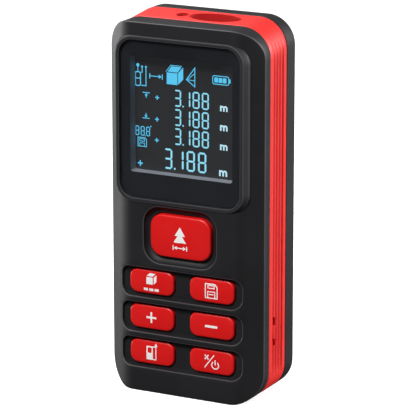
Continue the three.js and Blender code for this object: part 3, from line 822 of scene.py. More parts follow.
def side_slot(name, low, high):
    """A tool for a strap slot in the right side, with round ends."""
    loop = outline(rectangle(-2.4, low, -0.8, high), 0.7, arc=5, spacing=1.0)
    block = prism(loop, [], 22, 30)
    return make_piece(name, [(points[:, [1, 0, 2]], faces) for points, faces in block], band_rubber, None)


tube_low, tube_high = span("laser_tube")
window_low, window_high = span("receiver_lens")
beam = (tube_low + tube_high) / 2
receiver = (window_low + window_high) / 2
beam_path = circle(BEAM_HOLE, beam[0], beam[1], 40)
receiver_path = circle(1.0, steps=64) * RECEIVER_HOLE + (RECEIVER_X, receiver[1])
cut_away(
    band,
    [
        top_opening("beam_tool", beam_path),
        top_opening("receiver_tool", receiver_path),
        side_slot("slot_tool_high", 23.2, 25.8),
        side_slot("slot_tool_low", 16.8, 19.0),
    ],
)
# painted shade: the faces inside the openings take the deeper red
paint_opening_shade(band, shaded_opening_rubber)

# %% [markdown]
# ## Rear shell
# The rear shell is the same soft-touch moulding with a rounded rim. It also holds the battery
# bay, so its skin runs from the rear face down into the door's seat, the bay and out again.
# Bores for the screws, pockets for the door's hooks and room for its foot are cut out last.
# %% Rear shell
ROUND_ACROSS, ROUND_DEEP = 3.2, 3.13
SEAT_Y = 12.2
BAY_FLOOR_Y = -0.2
BAY = (23.0, 50.4, 0.6, 0.0, 33.2)
BAY_WALL = 1.2
INNER_Y = 11.4
VENT_FLOOR_Y = 13.2
HOOK_X = 8.5
FOOT_TOP_Z = 8.2


def rear_outline(inset):
    """The rear shell seen from behind."""
    return rounded(2 * HALF_WIDTH, REAR_HEIGHT, CORNER, 0, REAR_HEIGHT / 2, inset, 16, (16, 34))


def seat_outline(inset):
    """The door's seat with the notch for its latch."""
    side, low, high = door_high[0] + 0.3, door_low[2] - 0.8, 61.0
    corners = [(-side, low), (side, low), (side, high), (4.6, high), (4.6, 62.4), (-4.6, 62.4)]
    corners += [(-4.6, high), (-side, high)]
    return outline(corners, [1.3, 1.3, 1.3, 0.3, 0.5, 0.5, 0.3, 1.3], inset, 6, 4.0)


rings = [lift(rear_outline(0.15), REAR_FRONT_Y), lift(rear_outline(0), REAR_FRONT_Y + 0.2)]
for angle in np.radians(np.linspace(0, 90, 13)):
    inset = ROUND_ACROSS * (1 - math.cos(angle))
    rings.append(lift(rear_outline(inset), REAR_FACE_Y - ROUND_DEEP * (1 - math.sin(angle))))
inner_steps = [(0.15, REAR_FRONT_Y), (2, REAR_FRONT_Y), (2, 9.4), (4, INNER_Y)]
inner = [lift(rear_outline(inset), y) for inset, y in inner_steps]
seat = [lift(seat_outline(inset), y) for inset, y in ((-0.2, REAR_FACE_Y), (0, 13.8), (0, SEAT_Y))]
bay = [lift(rounded(*BAY), y) for y in (SEAT_Y, BAY_FLOOR_Y)]
bay_back = [lift(rounded(*BAY, inset=-BAY_WALL), y) for y in (INNER_Y, BAY_FLOOR_Y - BAY_WALL)]
vents = [rounded(7.0, 1.1, 0.55, 9.5, z, arc=6, spacing=2.0) for z in (71.0, 73.0, 75.0)]
vent_parts = []
for vent in vents:
    vent_parts.append(loft([lift(vent, REAR_FACE_Y), lift(vent, VENT_FLOOR_Y)]))
    vent_parts.append(sheet(vent, depth=VENT_FLOOR_Y))
rear_parts = [
    loft(rings),
    loft(inner),
    loft(seat),
    loft(bay),
    loft(bay_back),
    *vent_parts,
    sheet(rear_outline(ROUND_ACROSS), [seat_outline(-0.2), *vents], REAR_FACE_Y),
    sheet(seat_outline(0), [rounded(*BAY)], SEAT_Y),
    sheet(rounded(*BAY), depth=BAY_FLOOR_Y),
    sheet(rear_outline(4), [rounded(*BAY, inset=-BAY_WALL)], INNER_Y),
    sheet(rounded(*BAY, inset=-BAY_WALL), depth=BAY_FLOOR_Y - BAY_WALL),
]
rear_shell = dress("rear_shell", rear_parts, soft_touch, "housing")


def post_tool(name, profile, x, z):
    """A round tool along the depth, from a profile of (radius, depth)."""
    rings = [lift(circle(radius, x, z, 40), y) for radius, y in profile]
    return make_piece(name, [loft(rings)], soft_touch, None)


SCREWS = {}
tools = []
for word in ("lower_left", "lower_right", "upper_left", "upper_right"):
    low, high = span(f"case_screw_{word}")
    SCREWS[word] = ((low[0] + high[0]) / 2, (low[2] + high[2]) / 2, high[1])
    profile = [(0, 11.9), (2.4, 11.9), (2.4, 13.7), (2.9, 14.2), (2.9, 15), (0, 15)]
    tools.append(post_tool(f"bore_tool_{word}", profile, *SCREWS[word][:2]))
for side in (-1, 1):
    corners = rectangle(side * HOOK_X - 2.1, 4.5, side * HOOK_X + 2.1, FOOT_TOP_Z)
    pocket = prism(outline(corners, 0.3, arc=3), [], 10, 13)
    tools.append(make_piece(f"hook_tool_{side + 1}", pocket, soft_touch, None))
right = door_high[0] + 0.27
corners = rectangle(-right, door_low[2] - 0.77, right, FOOT_TOP_Z)
relief = prism(outline(corners, [1.3, 1.3, 0.3, 0.3], arc=6), [], 11.7, 13)
tools.append(make_piece("foot_tool", relief, soft_touch, None))
latch = outline(rectangle(-4.5, 60.2, 4.5, 62.3), 0.3, arc=3)
tools.append(make_piece("latch_tool", prism(latch, [], 11.42, 13), soft_touch, None))
cut_away(rear_shell, tools)

# %% [markdown]
# ## Battery door
# The door is a thin lid with a thumb latch. Its outer edge is rounded over, three grip lines
# are sunk near the latch, and two hooks at the bottom edge are what it swings on.
# %% Battery door


def door_outline(inset):
    """The door with its thumb latch."""
    side, low, high = door_high[0], door_low[2], 60.7
    corners = [(-side, low), (side, low), (side, high), (4.2, high), (4.2, door_high[2])]
    corners += [(-4.2, door_high[2]), (-4.2, high), (-side, high)]
    return outline(corners, [1, 1, 1, 0.5, 0.6, 0.6, 0.5, 1], inset, 6, 4.0)


DOOR_INNER_Y, DOOR_OUTER_Y = 12.5, door_high[1]
GRIP_FLOOR_Y = 13.55
DOOR_ROUND = 0.4
rings = [lift(door_outline(0), DOOR_INNER_Y)]
for angle in np.radians(np.linspace(0, 90, 6)):
    inset = DOOR_ROUND * (1 - math.cos(angle))
    rings.append(lift(door_outline(inset), DOOR_OUTER_Y - DOOR_ROUND * (1 - math.sin(angle))))
grips = [rounded(12, 0.7, 0.34, 0, z, arc=6, spacing=2.0) for z in (54, 55.6, 57.2)]
door_parts = [
    loft(rings),
    sheet(door_outline(0), depth=DOOR_INNER_Y),
    sheet(door_outline(DOOR_ROUND), grips, DOOR_OUTER_Y),
]
for grip in grips:
    door_parts.append(loft([lift(grip, DOOR_OUTER_Y), lift(grip, GRIP_FLOOR_Y)]))
    door_parts.append(sheet(grip, depth=GRIP_FLOOR_Y))
for x in (-HOOK_X, HOOK_X):
    door_parts += box((x - 1.5, 11.6, 5.5), (x + 1.5, DOOR_INNER_Y, 6.9))
door_parts += box((-3, 11.45, 60.9), (3, DOOR_INNER_Y, 61.9))
dress("battery_door", door_parts, soft_touch, "door")

# %% [markdown]
# ## Keys
# A key is a pillow: upright sides, a rolled edge and a slightly crowned top. The crown is a
# shallow bowl shape turned outwards, deepest at the corners, so each key catches a soft
# highlight. A flange at the foot keeps the key inside the shell.
# %% Keys
KEY_ROLL = 0.6
CROWN = 0.22


def key_top(word):
    """The depth of a key's top at any (x, z)."""
    width, height, _, x0, z0, front = KEYS[word]

    def depth(x, z):
        return front + CROWN * (((x - x0) / (width / 2)) ** 2 + ((z - z0) / (height / 2)) ** 2)

    return depth


def key_cap(word):
    """The cap from its flange to the pole in the middle of its crown."""
    centre = np.array(KEYS[word][3:5])
    foot_y = span(f"{word}_key")[1][1]
    top = key_top(word)
    flange, wall = key_outline(word, FLANGE), key_outline(word)
    rings = [lift(flange, foot_y), lift(flange, foot_y - 0.7), lift(wall, foot_y - 0.7)]
    for angle in np.radians(np.linspace(0, 90, 8)):
        loop = key_outline(word, -KEY_ROLL * (1 - math.cos(angle)))
        rings.append(lift(loop, top(*loop.T) + KEY_ROLL * (1 - math.sin(angle))))
    edge = key_outline(word, -KEY_ROLL)
    for size in (0.85, 0.65, 0.45, 0.25, 0.1, 0.0):
        loop = centre + (edge - centre) * size
        rings.append(lift(loop, top(*loop.T)))
    return [loft(rings), sheet(flange, depth=foot_y)]


for word in KEY_NAMES:
    dress(f"{word}_key", key_cap(word), key_plastic, f"{word}_button", sharp=40)

# %% [markdown]
# ## Marks on the keys
# The marks are pad-printed: a soft pad lays white ink on the crowned top. We draw each as
# outlines in millimetres from the key's centre and drape it over the crown, a hair proud.
# The marks are signs without words, so that they mean the same to everyone.
# %% Marks on the keys
INK_PROUD = 0.03
INK_SUNK = 0.05


def behind(top, gap):
    """A depth that follows a key's crown a little behind it, or before it if gap is below 0."""
    return lambda x, z: top(x, z) + gap


def arrow_mark(x, z, length, width):
    """A two-headed arrow between two end bars, the mark for a distance."""
    half = length / 2
    marks = [stroke([(x - half + 0.7, z), (x + half - 0.7, z)], width)]
    for side in (-1, 1):
        tip = x + side * (half - 0.25)
        head = [(tip, z), (tip - side, z + 0.62), (tip - side, z - 0.62)]
        marks.append((head[::side], []))
        marks.append(stroke([(x + side * half, z - 0.75), (x + side * half, z + 0.75)], width))
    return marks


def cube_mark(x, z, size):
    """Three faces of a solid block with thin gaps between them."""
    d, s, gap = size * 0.42, size, 0.34
    front = rectangle(0, 0, s, s)
    top = [(0.1, s + gap), (s, s + gap), (s + d, s + d + gap), (0.1 + d, s + d + gap)]
    side = [(s + gap, 0.1), (s + gap + d, d + 0.1), (s + gap + d, s + d), (s + gap, s)]
    shift = (x - (s + d) / 2, z - (s + d) / 2)
    return [(np.array(face) + shift, []) for face in (front, top, side)]


TREE = [(-2.15, -1.55), (2.15, -1.55), (0.7, 0.55), (1.75, 0.55), (0, 3.3), (-1.75, 0.55), (-0.7, 0.55)]
CASE = rectangle(-1.75, -2.3, 0.45, 2.0)
CASE_WINDOW = rectangle(-1.35, -0.1, 0.05, 1.6)
KEY_MARKS = {
    "measure": [(TREE, []), *arrow_mark(0, -3.2, 4.6, 0.32)],
    "menu": [
        *cube_mark(-0.1, 0.95, 2.2),
        *[(rectangle(x, -2.7, x + 1.45, -1.9), []) for x in (-2.6, -0.75, 1.1)],
    ],
    "save": [
        stroke([(-2.0, -2.2), (2.0, -2.2), (2.0, 1.3), (1.2, 2.2), (-2.0, 2.2)], 0.34, closed=True),
        stroke(rectangle(-1.1, 0.9, 1.0, 1.75), 0.3, closed=True),
        stroke([(-1.2, -2.0), (-1.2, -0.2), (1.2, -0.2), (1.2, -2.0)], 0.3),
        stroke([(-0.8, -1.05), (0.8, -1.05)], 0.3),
    ],
    "plus": [(cross_outline(1.7, 0.3), [])],
    "minus": [(rounded(4.2, 0.72, 0.2, 0, 0, arc=4), [])],
    "reference": [
        (CASE, [CASE_WINDOW]),
        stroke(rectangle(0.45, -2.15, 1.5, 1.9), 0.3),
        ([(1.0, 2.1), (2.0, 2.1), (1.5, 3.1)], []),
    ],
    "clear_power": [
        stroke([(-2.2, 2.1), (-0.9, 0.7)], 0.36),
        stroke([(-2.2, 0.7), (-0.9, 2.1)], 0.36),
        stroke([(-2.3, -2.0), (1.0, 2.3)], 0.32),
        stroke(curve(1.35, -0.85, 1.15, 125, 415, 24), 0.36),
        stroke([(1.35, -0.75), (1.35, 0.75)], 0.36),
    ],
}
for word, marks in KEY_MARKS.items():
    top = key_top(word)
    centre = KEYS[word][3:5]
    parts = []
    for edge, holes in marks:
        edge = finer(np.array(edge) + centre, 0.4)
        holes = [finer(np.array(hole) + centre, 0.4, -0.003) for hole in holes]
        parts += prism(edge, holes, behind(top, -INK_PROUD), behind(top, INK_SUNK), (0.7, 0.7))
    make_piece(f"{word}_mark", parts, key_ink, f"{word}_button", sharp=50)

# %% [markdown]
# ## Window
# The window is a sheet of clear acrylic with black ink printed on its rear round the
# display. The ink is a piece of its own, thinner than paper, so the black is seen through the
# gloss of the acrylic, which is what makes a window look deep.
# %% Window


def window_outline(inset):
    """The edge of the window."""
    width, height = lens_high[0] - lens_low[0], lens_high[2] - lens_low[2]
    return rounded(width, height, 4.5, 0, WINDOW_Z, inset, 12, 2.0)


aperture = rounded(*APERTURE, 0, SCREEN_Z, arc=5, spacing=3.0)
front = [(0.25, lens_low[1]), (0.08, lens_low[1] + 0.06), (0, lens_low[1] + 0.2), (0, lens_high[1])]
window_parts = [
    loft([lift(window_outline(inset), y) for inset, y in front]),
    sheet(window_outline(0.25), depth=lens_low[1]),
    sheet(window_outline(0), depth=lens_high[1]),
]
dress("window_lens", window_parts, acrylic, "housing")
ink = prism(window_outline(0.05), [aperture], lens_high[1] + 0.02, lens_high[1] + 0.08)
make_piece("window_ink", ink, mask_ink, "housing")

# %% [markdown]
# ## Display
# Behind the window a grey shroud leads down to the liquid-crystal panel. The panel is dark
# where it isn't lit. Its figures are seven-segment numerals, each segment a bar with pointed
# ends, and the small marks beside them are lines and patches of a slightly deeper blue.
# Places on the panel are measured from its centre, in millimetres.
# %% Display
SHROUD_FRONT_Y = lens_high[1] + 0.2
shroud_low, shroud_high = span("display_shroud")
SHROUD_STEPS = [
    (36.4, 38.0, 1.2, shroud_high[1]),
    (36.4, 38.0, 1.2, shroud_low[1]),
    (35.7, 36.9, 1.2, shroud_low[1]),
    (35.7, 36.9, 1.2, SHROUD_FRONT_Y),
    (34.6, 35.8, 0.9, SHROUD_FRONT_Y),
    (34.2, 35.4, 0.7, shroud_high[1]),
]
rings = [
    lift(rounded(width, height, radius, 0, SCREEN_Z, arc=5, spacing=(12, 12)), y)
    for width, height, radius, y in SHROUD_STEPS
]
shroud = [loft(rings, back_to_first=True)]
dress("display_shroud", shroud, shroud_plastic, "housing")
SCREEN_Y = screen_low[1]
SEGMENTS = {"1": "bc", "3": "abcdg", "8": "abcdefg"}


def bar(start, stop, thick):
    """One segment: a bar whose ends come to a point."""
    start, stop = np.array(start, float), np.array(stop, float)
    along = (stop - start) / np.hypot(*(stop - start)) * thick / 2
    side = np.array([-along[1], along[0]])
    near, far = start + along, stop - along
    return [start, near - side, far - side, stop, far + side, near + side]


def numeral(figure, right, low, width, height, thick):
    """The lit segments of one figure, from its right and lowest edges."""
    gap = thick * 0.12
    left, mid, high = right - width + thick / 2, low + height / 2, low + height - thick / 2
    right, low = right - thick / 2, low + thick / 2
    ends = {
        "a": ((left + gap, high), (right - gap, high)),
        "b": ((right, mid + gap), (right, high - gap)),
        "c": ((right, low + gap), (right, mid - gap)),
        "d": ((left + gap, low), (right - gap, low)),
        "e": ((left, low + gap), (left, mid - gap)),
        "f": ((left, mid + gap), (left, high - gap)),
        "g": ((left + gap, mid), (right - gap, mid)),
    }
    return [(bar(*ends[segment], thick), []) for segment in SEGMENTS[figure]]


def reading(right, low, width, height, pitch, thick):
    """The figures 3.188 in one line, as the panel shows them."""
    marks = []
    for place, figure in enumerate("3188"):
        marks += numeral(figure, right - (3 - place) * pitch, low, width, height, thick)
    dot = right - 3 * pitch + pitch * 0.21
    return marks + [(circle(thick * 0.55, dot, low + thick * 0.5, 12), [])]


def unit(x, low, width, height):
    """The sign for metres: three posts under two arches."""
    thick = width * 0.2
    half = (width - thick) / 2
    path = [(x + thick / 2, low), (x + thick / 2, low + height)]
    marks = [stroke(path, thick)]
    for start in (x + thick / 2, x + thick / 2 + half):
        arch = curve(start + half / 2, low + height - half / 2 - thick / 2, half / 2, 150, 0, 8)
        marks.append(stroke(np.concatenate([arch, [(start + half, low)]]), thick))
    return marks


def cross(x, z, size, thick):
    """A plus sign on the panel."""
    return [(cross_outline(size / 2, thick / 2) + (x, z), [])]


def end_stop_mark(x, z, upper):
    """An arrow that meets a bar above it, for the largest reading, or below it, for the least."""
    way = 1 if upper else -1
    marks = [stroke([(x - 1.2, z + way * 0.75), (x + 1.2, z + way * 0.75)], 0.26)]
    marks.append(stroke([(x, z - way * 0.8), (x, z + way * 0.1)], 0.26))
    tip = [(x - way * 0.55, z - way * 0.1), (x + way * 0.55, z - way * 0.1), (x, z + way * 0.58)]
    return marks + [(tip, [])]


figures = []
for low in (2.85, -3.05, -8.92):
    figures += reading(7.65, low, 2.35, 5.15, 3.1, 0.47)
figures += reading(6.8, -16.68, 2.8, 6.35, 3.83, 0.58)
# The small angle reading with its degree sign and dot, and the plus signs.
symbols = [(circle(0.22, -12.0, -4.2, 12), []), (circle(0.16, -13.95, -7.25, 10), [])]
for place in range(3):
    symbols += numeral("8", -15.95 + place * 1.85, -7.3, 1.35, 2.95, 0.28)
symbols += cross(-9.75, 4.95, 1.3, 0.34) + cross(-9.85, -1.75, 1.3, 0.34)
symbols += cross(-9.95, -8.2, 1.3, 0.34) + cross(-15.65, -15.9, 1.7, 0.42)
symbols += end_stop_mark(-13.5, 5.35, True) + end_stop_mark(-13.6, -1.0, False)
# The edge of the meter that a distance is measured from.
symbols += [
    stroke(rounded(1.75, 4.2, 0.5, -16.3, 10.15, arc=3, spacing=9), 0.32, closed=True),
    stroke([(-17.0, 10.3), (-15.6, 10.3)], 0.3),
    (circle(0.52, -16.3, 14.35, 16), []),
    stroke([(-16.3, 12.4), (-16.3, 14.0)], 0.22),
    (circle(0.34, -14.85, 13.95, 12), []),
    stroke([(-15.3, 12.2), (-14.85, 12.2), (-14.85, 13.9)], 0.26),
    (circle(0.34, -13.55, 13.95, 12), []),
    stroke([(-15.2, 8.2), (-13.55, 8.2), (-13.55, 13.9)], 0.28),
]
# A length between two ends.
symbols += [
    stroke([(-12.1, 11.4), (-9.0, 11.4)], 0.26),
    ([(-9.2, 10.8), (-8.2, 11.4), (-9.2, 12.0)], []),
    stroke([(-12.25, 10.6), (-12.25, 12.2)], 0.28),
    stroke([(-8.0, 10.6), (-8.0, 12.2)], 0.28),
]
# A volume, a triangle with its two lines, and the battery with its three bars.
symbols += [
    (rectangle(-6.5, 9.45, -2.9, 13.0), []),
    ([(-6.2, 13.25), (-2.85, 13.25), (-1.5, 15.0), (-4.85, 15.0)], []),
    ([(-2.65, 9.6), (-0.95, 11.3), (-0.95, 15.0), (-2.65, 13.1)], []),
    stroke([(-6.75, 13.2), (-5.1, 15.3), (-1.4, 15.3)], 0.2),
    stroke([(0.15, 11.45), (2.95, 15.2), (2.95, 9.5)], 0.26, closed=True),
    stroke([(0.5, 11.5), (2.8, 13.4)], 0.22),
    stroke([(0.5, 11.45), (2.8, 11.3)], 0.22),
    stroke(rounded(5.3, 2.5, 0.5, 11.6, 12.3, arc=3, spacing=9), 0.26, closed=True),
    (rounded(0.6, 1.3, 0.25, 14.55, 12.3, arc=3), []),
]
symbols += [(rounded(1.2, 1.5, 0.15, x, 12.3, arc=2), []) for x in (10.1, 11.5, 12.9)]
# The memory.
disk = [(-16.4, -10.6), (-13.5, -10.6), (-13.5, -8.4), (-14.0, -7.9), (-16.4, -7.9)]
symbols += [
    stroke(disk, 0.24, closed=True),
    stroke(rectangle(-15.8, -9.0, -14.2, -8.3), 0.2, closed=True),
    stroke([(-15.8, -10.4), (-15.8, -9.6), (-14.2, -9.6), (-14.2, -10.4)], 0.2),
]
units = unit(11.4, 2.96, 2.5, 1.7) + unit(11.4, -2.97, 2.5, 1.75) + unit(11.4, -8.89, 2.5, 1.75)
units += unit(11.1, -16.88, 2.7, 1.85)


def lit_piece(name, marks, finish):
    """Thin lit patches on the face of the panel, placed from the panel's centre."""
    parts = []
    for edge, holes in marks:
        edge, *holes = [np.array(loop) + (0, SCREEN_Z) for loop in (edge, *holes)]
        parts += prism(edge, holes, SCREEN_Y - 0.05, SCREEN_Y - 0.01)
    return make_piece(name, parts, finish, "housing")


lit_piece("display_figures", figures, figure_light)
lit_piece("display_symbols", symbols, symbol_light)
lit_piece("display_units", units, unit_light)
panel = prism(rounded(37.2, 38.6, 0.6, 0, SCREEN_Z, arc=4), [], screen_low[1], screen_high[1])
dress("lcd_panel", panel, screen_glass, "housing")

# %% [markdown]
# ## Optics and fasteners
# The two lenses are looked into from the top, so they get true domes. The larger one is a
# round lens cut down to a rectangle. Screws are pressed steel with a cross recess.
# %% Optics and fasteners
DOME_REACH = 7.2
DOME_RIM, DOME_RISE = 1.0, 1.8


def receiver_dome():
    """Rings of a rounded rectangle, each higher as it shrinks, like a shallow cap."""
    x, y = (window_low[0] + window_high[0]) / 2, (window_low[1] + window_high[1]) / 2
    size = (window_high[0] - window_low[0], window_high[1] - window_low[1])
    loop = rounded(*size, 0.8, 0, 0, arc=6, spacing=1.0)
    reach = np.hypot(*(loop / DOME_REACH).T)
    rings = [level((x, y) + loop * 0, window_low[2]), level((x, y) + loop, window_low[2])]
    for share in np.linspace(1, 0, 14):
        height = window_low[2] + DOME_RIM + DOME_RISE * (1 - (share * reach) ** 2)
        rings.append(level((x, y) + loop * share, height))
    return loft(rings)


dress("receiver_lens", [receiver_dome()], coated_glass, "housing")
glass_low = span("laser_lens")[0]
dome = [(0, 0), (1.85, 0), (1.85, 0.9)]
dome += [(1.85 * math.cos(a), 0.9 + 0.8 * math.sin(a)) for a in np.radians(np.linspace(10, 90, 9))]
laser_lens = moved(lathe(dome), beam[0], beam[1], glass_low[2])
dress("laser_lens", [laser_lens], coated_glass, "housing")
TUBE_PROFILE = [(3, tube_low[2]), (3, 109.7), (2.8, 110), (2, 110), (2, tube_low[2])]
rings = [level(circle(radius, beam[0], beam[1]), z) for radius, z in TUBE_PROFILE]
dress("laser_tube", [loft(rings, back_to_first=True)], brass, "housing", sharp=50)


def screw_parts(x, z, front, rear, shank, head, depth):
    """A pan-head screw along the depth. A cross-shaped recess is sunk in its head."""
    arm, slim = head * 0.55, head * 0.16
    recess = outline(cross_outline(arm, slim), slim * 0.3, arc=2) + (x, z)
    seat, rise, shrink = rear - depth, depth * 0.45, head * 0.28
    profile = [(0, front), (shank, front + 0.8), (shank, seat), (head, seat), (head, rear - rise)]
    for angle in np.radians(np.linspace(20, 90, 6)):
        profile.append((head - shrink * (1 - math.cos(angle)), rear - rise * (1 - math.sin(angle))))
    rings = [lift(circle(radius, x, z, 40), y) for radius, y in profile]
    floor = rear - depth * 0.6
    return [
        loft(rings),
        sheet(rings[-1][:, [0, 2]], [recess], rear),
        loft([lift(recess, rear), lift(recess, floor)]),
        sheet(recess, depth=floor),
    ]


for word, (x, z, rear) in SCREWS.items():
    front = span(f"case_screw_{word}")[0][1]
    parts = screw_parts(x, z, front, rear, 0.95, 2.1, 1.3)
    dress(f"case_screw_{word}", parts, plated_steel, "housing")

# %% [markdown]
# ## Cells and springs
# Two small cells lie side by side, one the other way up. A cell is a turned can with a film
# wrapper, a raised cap at one end and bare metal at the rims. The springs are drawn as wire
# carried along a coil that narrows towards the cell.
# %% Cells and springs
COIL_TURNS, COIL_RISE = 3, 3.4
COIL_RADIUS, COIL_NARROWING = 3.4, 1.2
WIRE_RADIUS, WIRE_SIDES = 0.28, 12


def cell_wrapper():
    """Film printed in plain bands along the cell's length: read from the height of each point."""
    material = grained("banded_cell_film", ("#c8cdd2", "#d4d8dc"), (0.24, 0.34), 18, 0.6, 0.004, coat=0.3)
    tree = material.node_tree
    place = add(tree, "ShaderNodeTexCoord").outputs["Object"]
    height = add(tree, "ShaderNodeSeparateXYZ", {"Vector": place}).outputs["Z"]
    share = add(tree, "ShaderNodeMapRange", {"Value": height, "From Min": 0.008, "From Max": 0.058})
    bands = add(tree, "ShaderNodeValToRGB", {"Fac": share.outputs["Result"]})
    bands.color_ramp.interpolation = "CONSTANT"
    stops = ((0.0, "#2a2d31"), (0.3, "#c9ced3"), (0.34, "#1f5f93"), (0.78, "#c9ced3"), (0.82, "#2a2d31"))
    for index, (position, code) in enumerate(stops):
        stop = bands.color_ramp.elements[index] if index < 2 else bands.color_ramp.elements.new(position)
        stop.position = position
        stop.color = linear(code)
    tree.links.new(bands.outputs["Color"], shader_of(material).inputs["Base Color"])
    return material


def coil(x, y, base, way):
    """Wire along a coil that rises (way 1) or hangs (way -1) from its base. The centre line
    narrows evenly as it turns, and a small ring of points is set square to it all along."""
    turn = np.linspace(0, COIL_TURNS, 145)
    radius = COIL_RADIUS - COIL_NARROWING * turn / COIL_TURNS
    angle = 2 * math.pi * turn
    height = base + way * COIL_RISE * turn / COIL_TURNS
    path = np.stack([x + radius * np.cos(angle), y + way * radius * np.sin(angle), height], 1)
    ahead = np.gradient(path, axis=0)
    ahead /= np.linalg.norm(ahead, axis=1)[:, None]
    out = np.cross(ahead, (0, 0, 1))
    out /= np.linalg.norm(out, axis=1)[:, None]
    upright = np.cross(out, ahead)
    ring = circle(WIRE_RADIUS, steps=WIRE_SIDES)
    wire = path[:, None] + ring[None, :, :1] * out[:, None] + ring[None, :, 1:] * upright[:, None]
    ends = [np.repeat(path[index][None], WIRE_SIDES, 0) for index in (0, -1)]
    return loft(np.concatenate([ends[0][None], wire, ends[1][None]]))


film = cell_wrapper()
CELL_PROFILE = [(0, 0), (3.2, 0), (3.3, 0.12), (4.6, 0.12), (4.95, 0.3), (5.2, 0.7), (5.25, 1.0)]
CELL_PROFILE += [(5.25, 42.7), (5.18, 43.1), (4.9, 43.5), (4.6, 43.6), (2.4, 43.6), (2.35, 43.68)]
CELL_PROFILE += [(1.95, 43.7), (1.9, 43.8), (1.9, 44.3), (1.75, 44.47), (0, 44.5)]
for side in ("left", "right"):
    low, high = span(f"battery_{side}")
    x, y = (low[0] + high[0]) / 2, (low[1] + high[1]) / 2
    flip = side == "right"
    cell = moved(lathe(CELL_PROFILE, 64), x, y, high[2] if flip else low[2], flip)
    dress(f"battery_{side}", [cell], film, "housing", sharp=50)
    low, high = span(f"battery_spring_{side}")
    base = high[2] - WIRE_RADIUS if flip else low[2] + WIRE_RADIUS
    spring = [coil(x, y, base, -1 if flip else 1)]
    dress(f"battery_spring_{side}", spring, plated_steel, "housing", sharp=50)

# %% [markdown]
# ## Parts left as measured
# The boards, switches, ribbon and brackets are plain solids that only show inside.
# They keep their measured shape and get their own finishes.
# %% Parts left as measured
INSIDE = {
    "keypad_mat": mat_rubber,
    "backlight_plate": white_plastic,
    "display_ribbon": ribbon_film,
    "main_board": solder_mask,
    "sensor_board": solder_mask,
    "processor_chip": dark_plastic,
    "buzzer": dark_plastic,
    "optics_bracket": dark_plastic,
    "laser_diode": brass,
    "receiver_sensor": nickel,
    "link_contact": nickel,
    "positive_contact": nickel,
    "negative_contact": nickel,
}
for word in KEY_NAMES:
    INSIDE[f"{word}_switch"] = dark_plastic
    INSIDE[f"{word}_switch_stem"] = grey_plastic
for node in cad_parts:
    if node.startswith(("board_screw", "bracket_screw")):
        INSIDE[node] = plated_steel
for node, finish in INSIDE.items():
    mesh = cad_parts[node].data
    mesh.materials.clear()
    mesh.materials.append(finish)
print("parts left as measured:", len(INSIDE))

# %% [markdown]
# ## Floor, light and camera
# Four soft lamps stand to the left, above, behind to the right and high in front.
# The floor and the plain room look white to the camera but give the object only a weak light,
# so that the black case keeps its depth.
# %% Floor, light and camera


def floor_finish():
    """Pale card that looks white to the eye but throws only a little light back up, as if
    black flags stood round the object: that keeps a dark case dark."""
    material = grained("pale_floor", ("#f4f4f4", "#f8f8f8"), (0.7, 0.8), 400, 3.0, 0.01)
    tree = material.node_tree
    card = shader_of(material)
    card.inputs["Emission Color"].default_value = (1, 1, 1, 1)
    card.inputs["Emission Strength"].default_value = 0.5
    end = next(node for node in tree.nodes if node.type == "OUTPUT_MATERIAL")
    ray = add(tree, "ShaderNodeLightPath")
    flag = add(tree, "ShaderNodeBsdfDiffuse", {"Color": linear("#4a4a4c")})
    both = add(
        tree,
        "ShaderNodeMixShader",
        {0: ray.outputs["Is Camera Ray"], 1: flag.outputs[0], 2: card.outputs[0]},
    )
    tree.links.new(both.outputs[0], end.inputs["Surface"])
    return material


FLOOR_REACH = 3000.0
ground = level(rectangle(-FLOOR_REACH, -FLOOR_REACH, FLOOR_REACH, FLOOR_REACH), 0.0)
floor = make_piece("floor", [(ground, [[0, 1, 2, 3]])], floor_finish(), None)

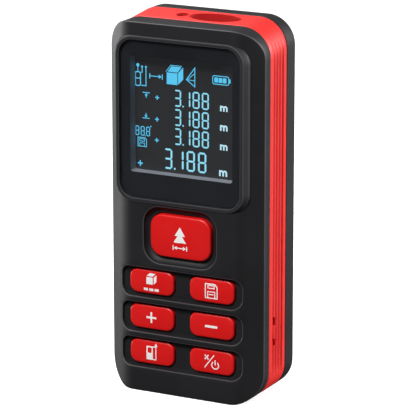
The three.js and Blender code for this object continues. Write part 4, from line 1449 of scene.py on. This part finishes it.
world = bpy.data.worlds.new("plain_room")
bpy.context.scene.world = world
world.use_nodes = True
tree = world.node_tree
tree.nodes.clear()
way = add(tree, "ShaderNodeTexCoord").outputs["Generated"]
height = add(tree, "ShaderNodeSeparateXYZ", {"Vector": way}).outputs["Z"]
power = add(
    tree,
    "ShaderNodeMapRange",
    {"Value": height, "From Min": 0.0, "From Max": 1.0, "To Min": 0.02, "To Max": 0.22},
)
seen = add(tree, "ShaderNodeBackground", {"Color": (1, 1, 1, 1), "Strength": 1.0})
faint = {"Color": (0.95, 0.97, 1.0, 1), "Strength": power.outputs["Result"]}
felt = add(tree, "ShaderNodeBackground", faint)
ray = add(tree, "ShaderNodeLightPath")
room = add(
    tree,
    "ShaderNodeMixShader",
    {0: ray.outputs["Is Camera Ray"], 1: felt.outputs[0], 2: seen.outputs[0]},
)
add(tree, "ShaderNodeOutputWorld", {"Surface": room.outputs[0]})


def soft_light(name, place, target, size, power):
    """A square lamp that faces a point."""
    lamp = bpy.data.lights.new(name, "AREA")
    lamp.size = size
    lamp.energy = power
    holder = bpy.data.objects.new(name, lamp)
    holder.location = place
    aim = np.array(target, float) - np.array(place, float)
    holder.rotation_euler = (
        math.atan2(math.hypot(aim[0], aim[1]), -aim[2]),
        0,
        math.atan2(-aim[0], aim[1]),
    )
    bpy.context.scene.collection.objects.link(holder)
    return holder


soft_light("lamp_left", (-0.9, 0.02, 0.08), (0, 0, 0.06), 0.2, 7.0)
soft_light("lamp_top", (-0.25, 0.08, 0.45), (0, 0, 0.1), 0.2, 1.45)
soft_light("lamp_right", (0.8, 0.45, 0.35), (0, 0, 0.06), 0.25, 12.5)
soft_light("lamp_front", (-0.1, -1.0, 1.0), (0, 0, 0.06), 0.35, 20.0)

CAMERA_DISTANCE = 0.85078
SENSOR_WIDTH = 36
FOCAL_SHARE = 6.909585
SIDEWAYS_SHIFT = -0.0166585
azimuth, elevation = math.radians(27.288), math.radians(14.707)
target = np.array([0.006451, -0.00815, 0.060076])
back = np.array(
    [
        math.sin(azimuth) * math.cos(elevation),
        -math.cos(azimuth) * math.cos(elevation),
        math.sin(elevation),
    ]
)
view = bpy.data.cameras.new("view")
view.sensor_width = SENSOR_WIDTH
view.lens = FOCAL_SHARE * SENSOR_WIDTH
view.shift_x = SIDEWAYS_SHIFT
view.clip_start = 0.01
camera = bpy.data.objects.new("view", view)
camera.location = target + back * CAMERA_DISTANCE
camera.rotation_euler = (math.pi / 2 - elevation, 0, azimuth)
bpy.context.scene.collection.objects.link(camera)
bpy.context.scene.camera = camera
bpy.context.scene.view_settings.view_transform = "Standard"
print("camera", [round(float(value), 4) for value in camera.location])
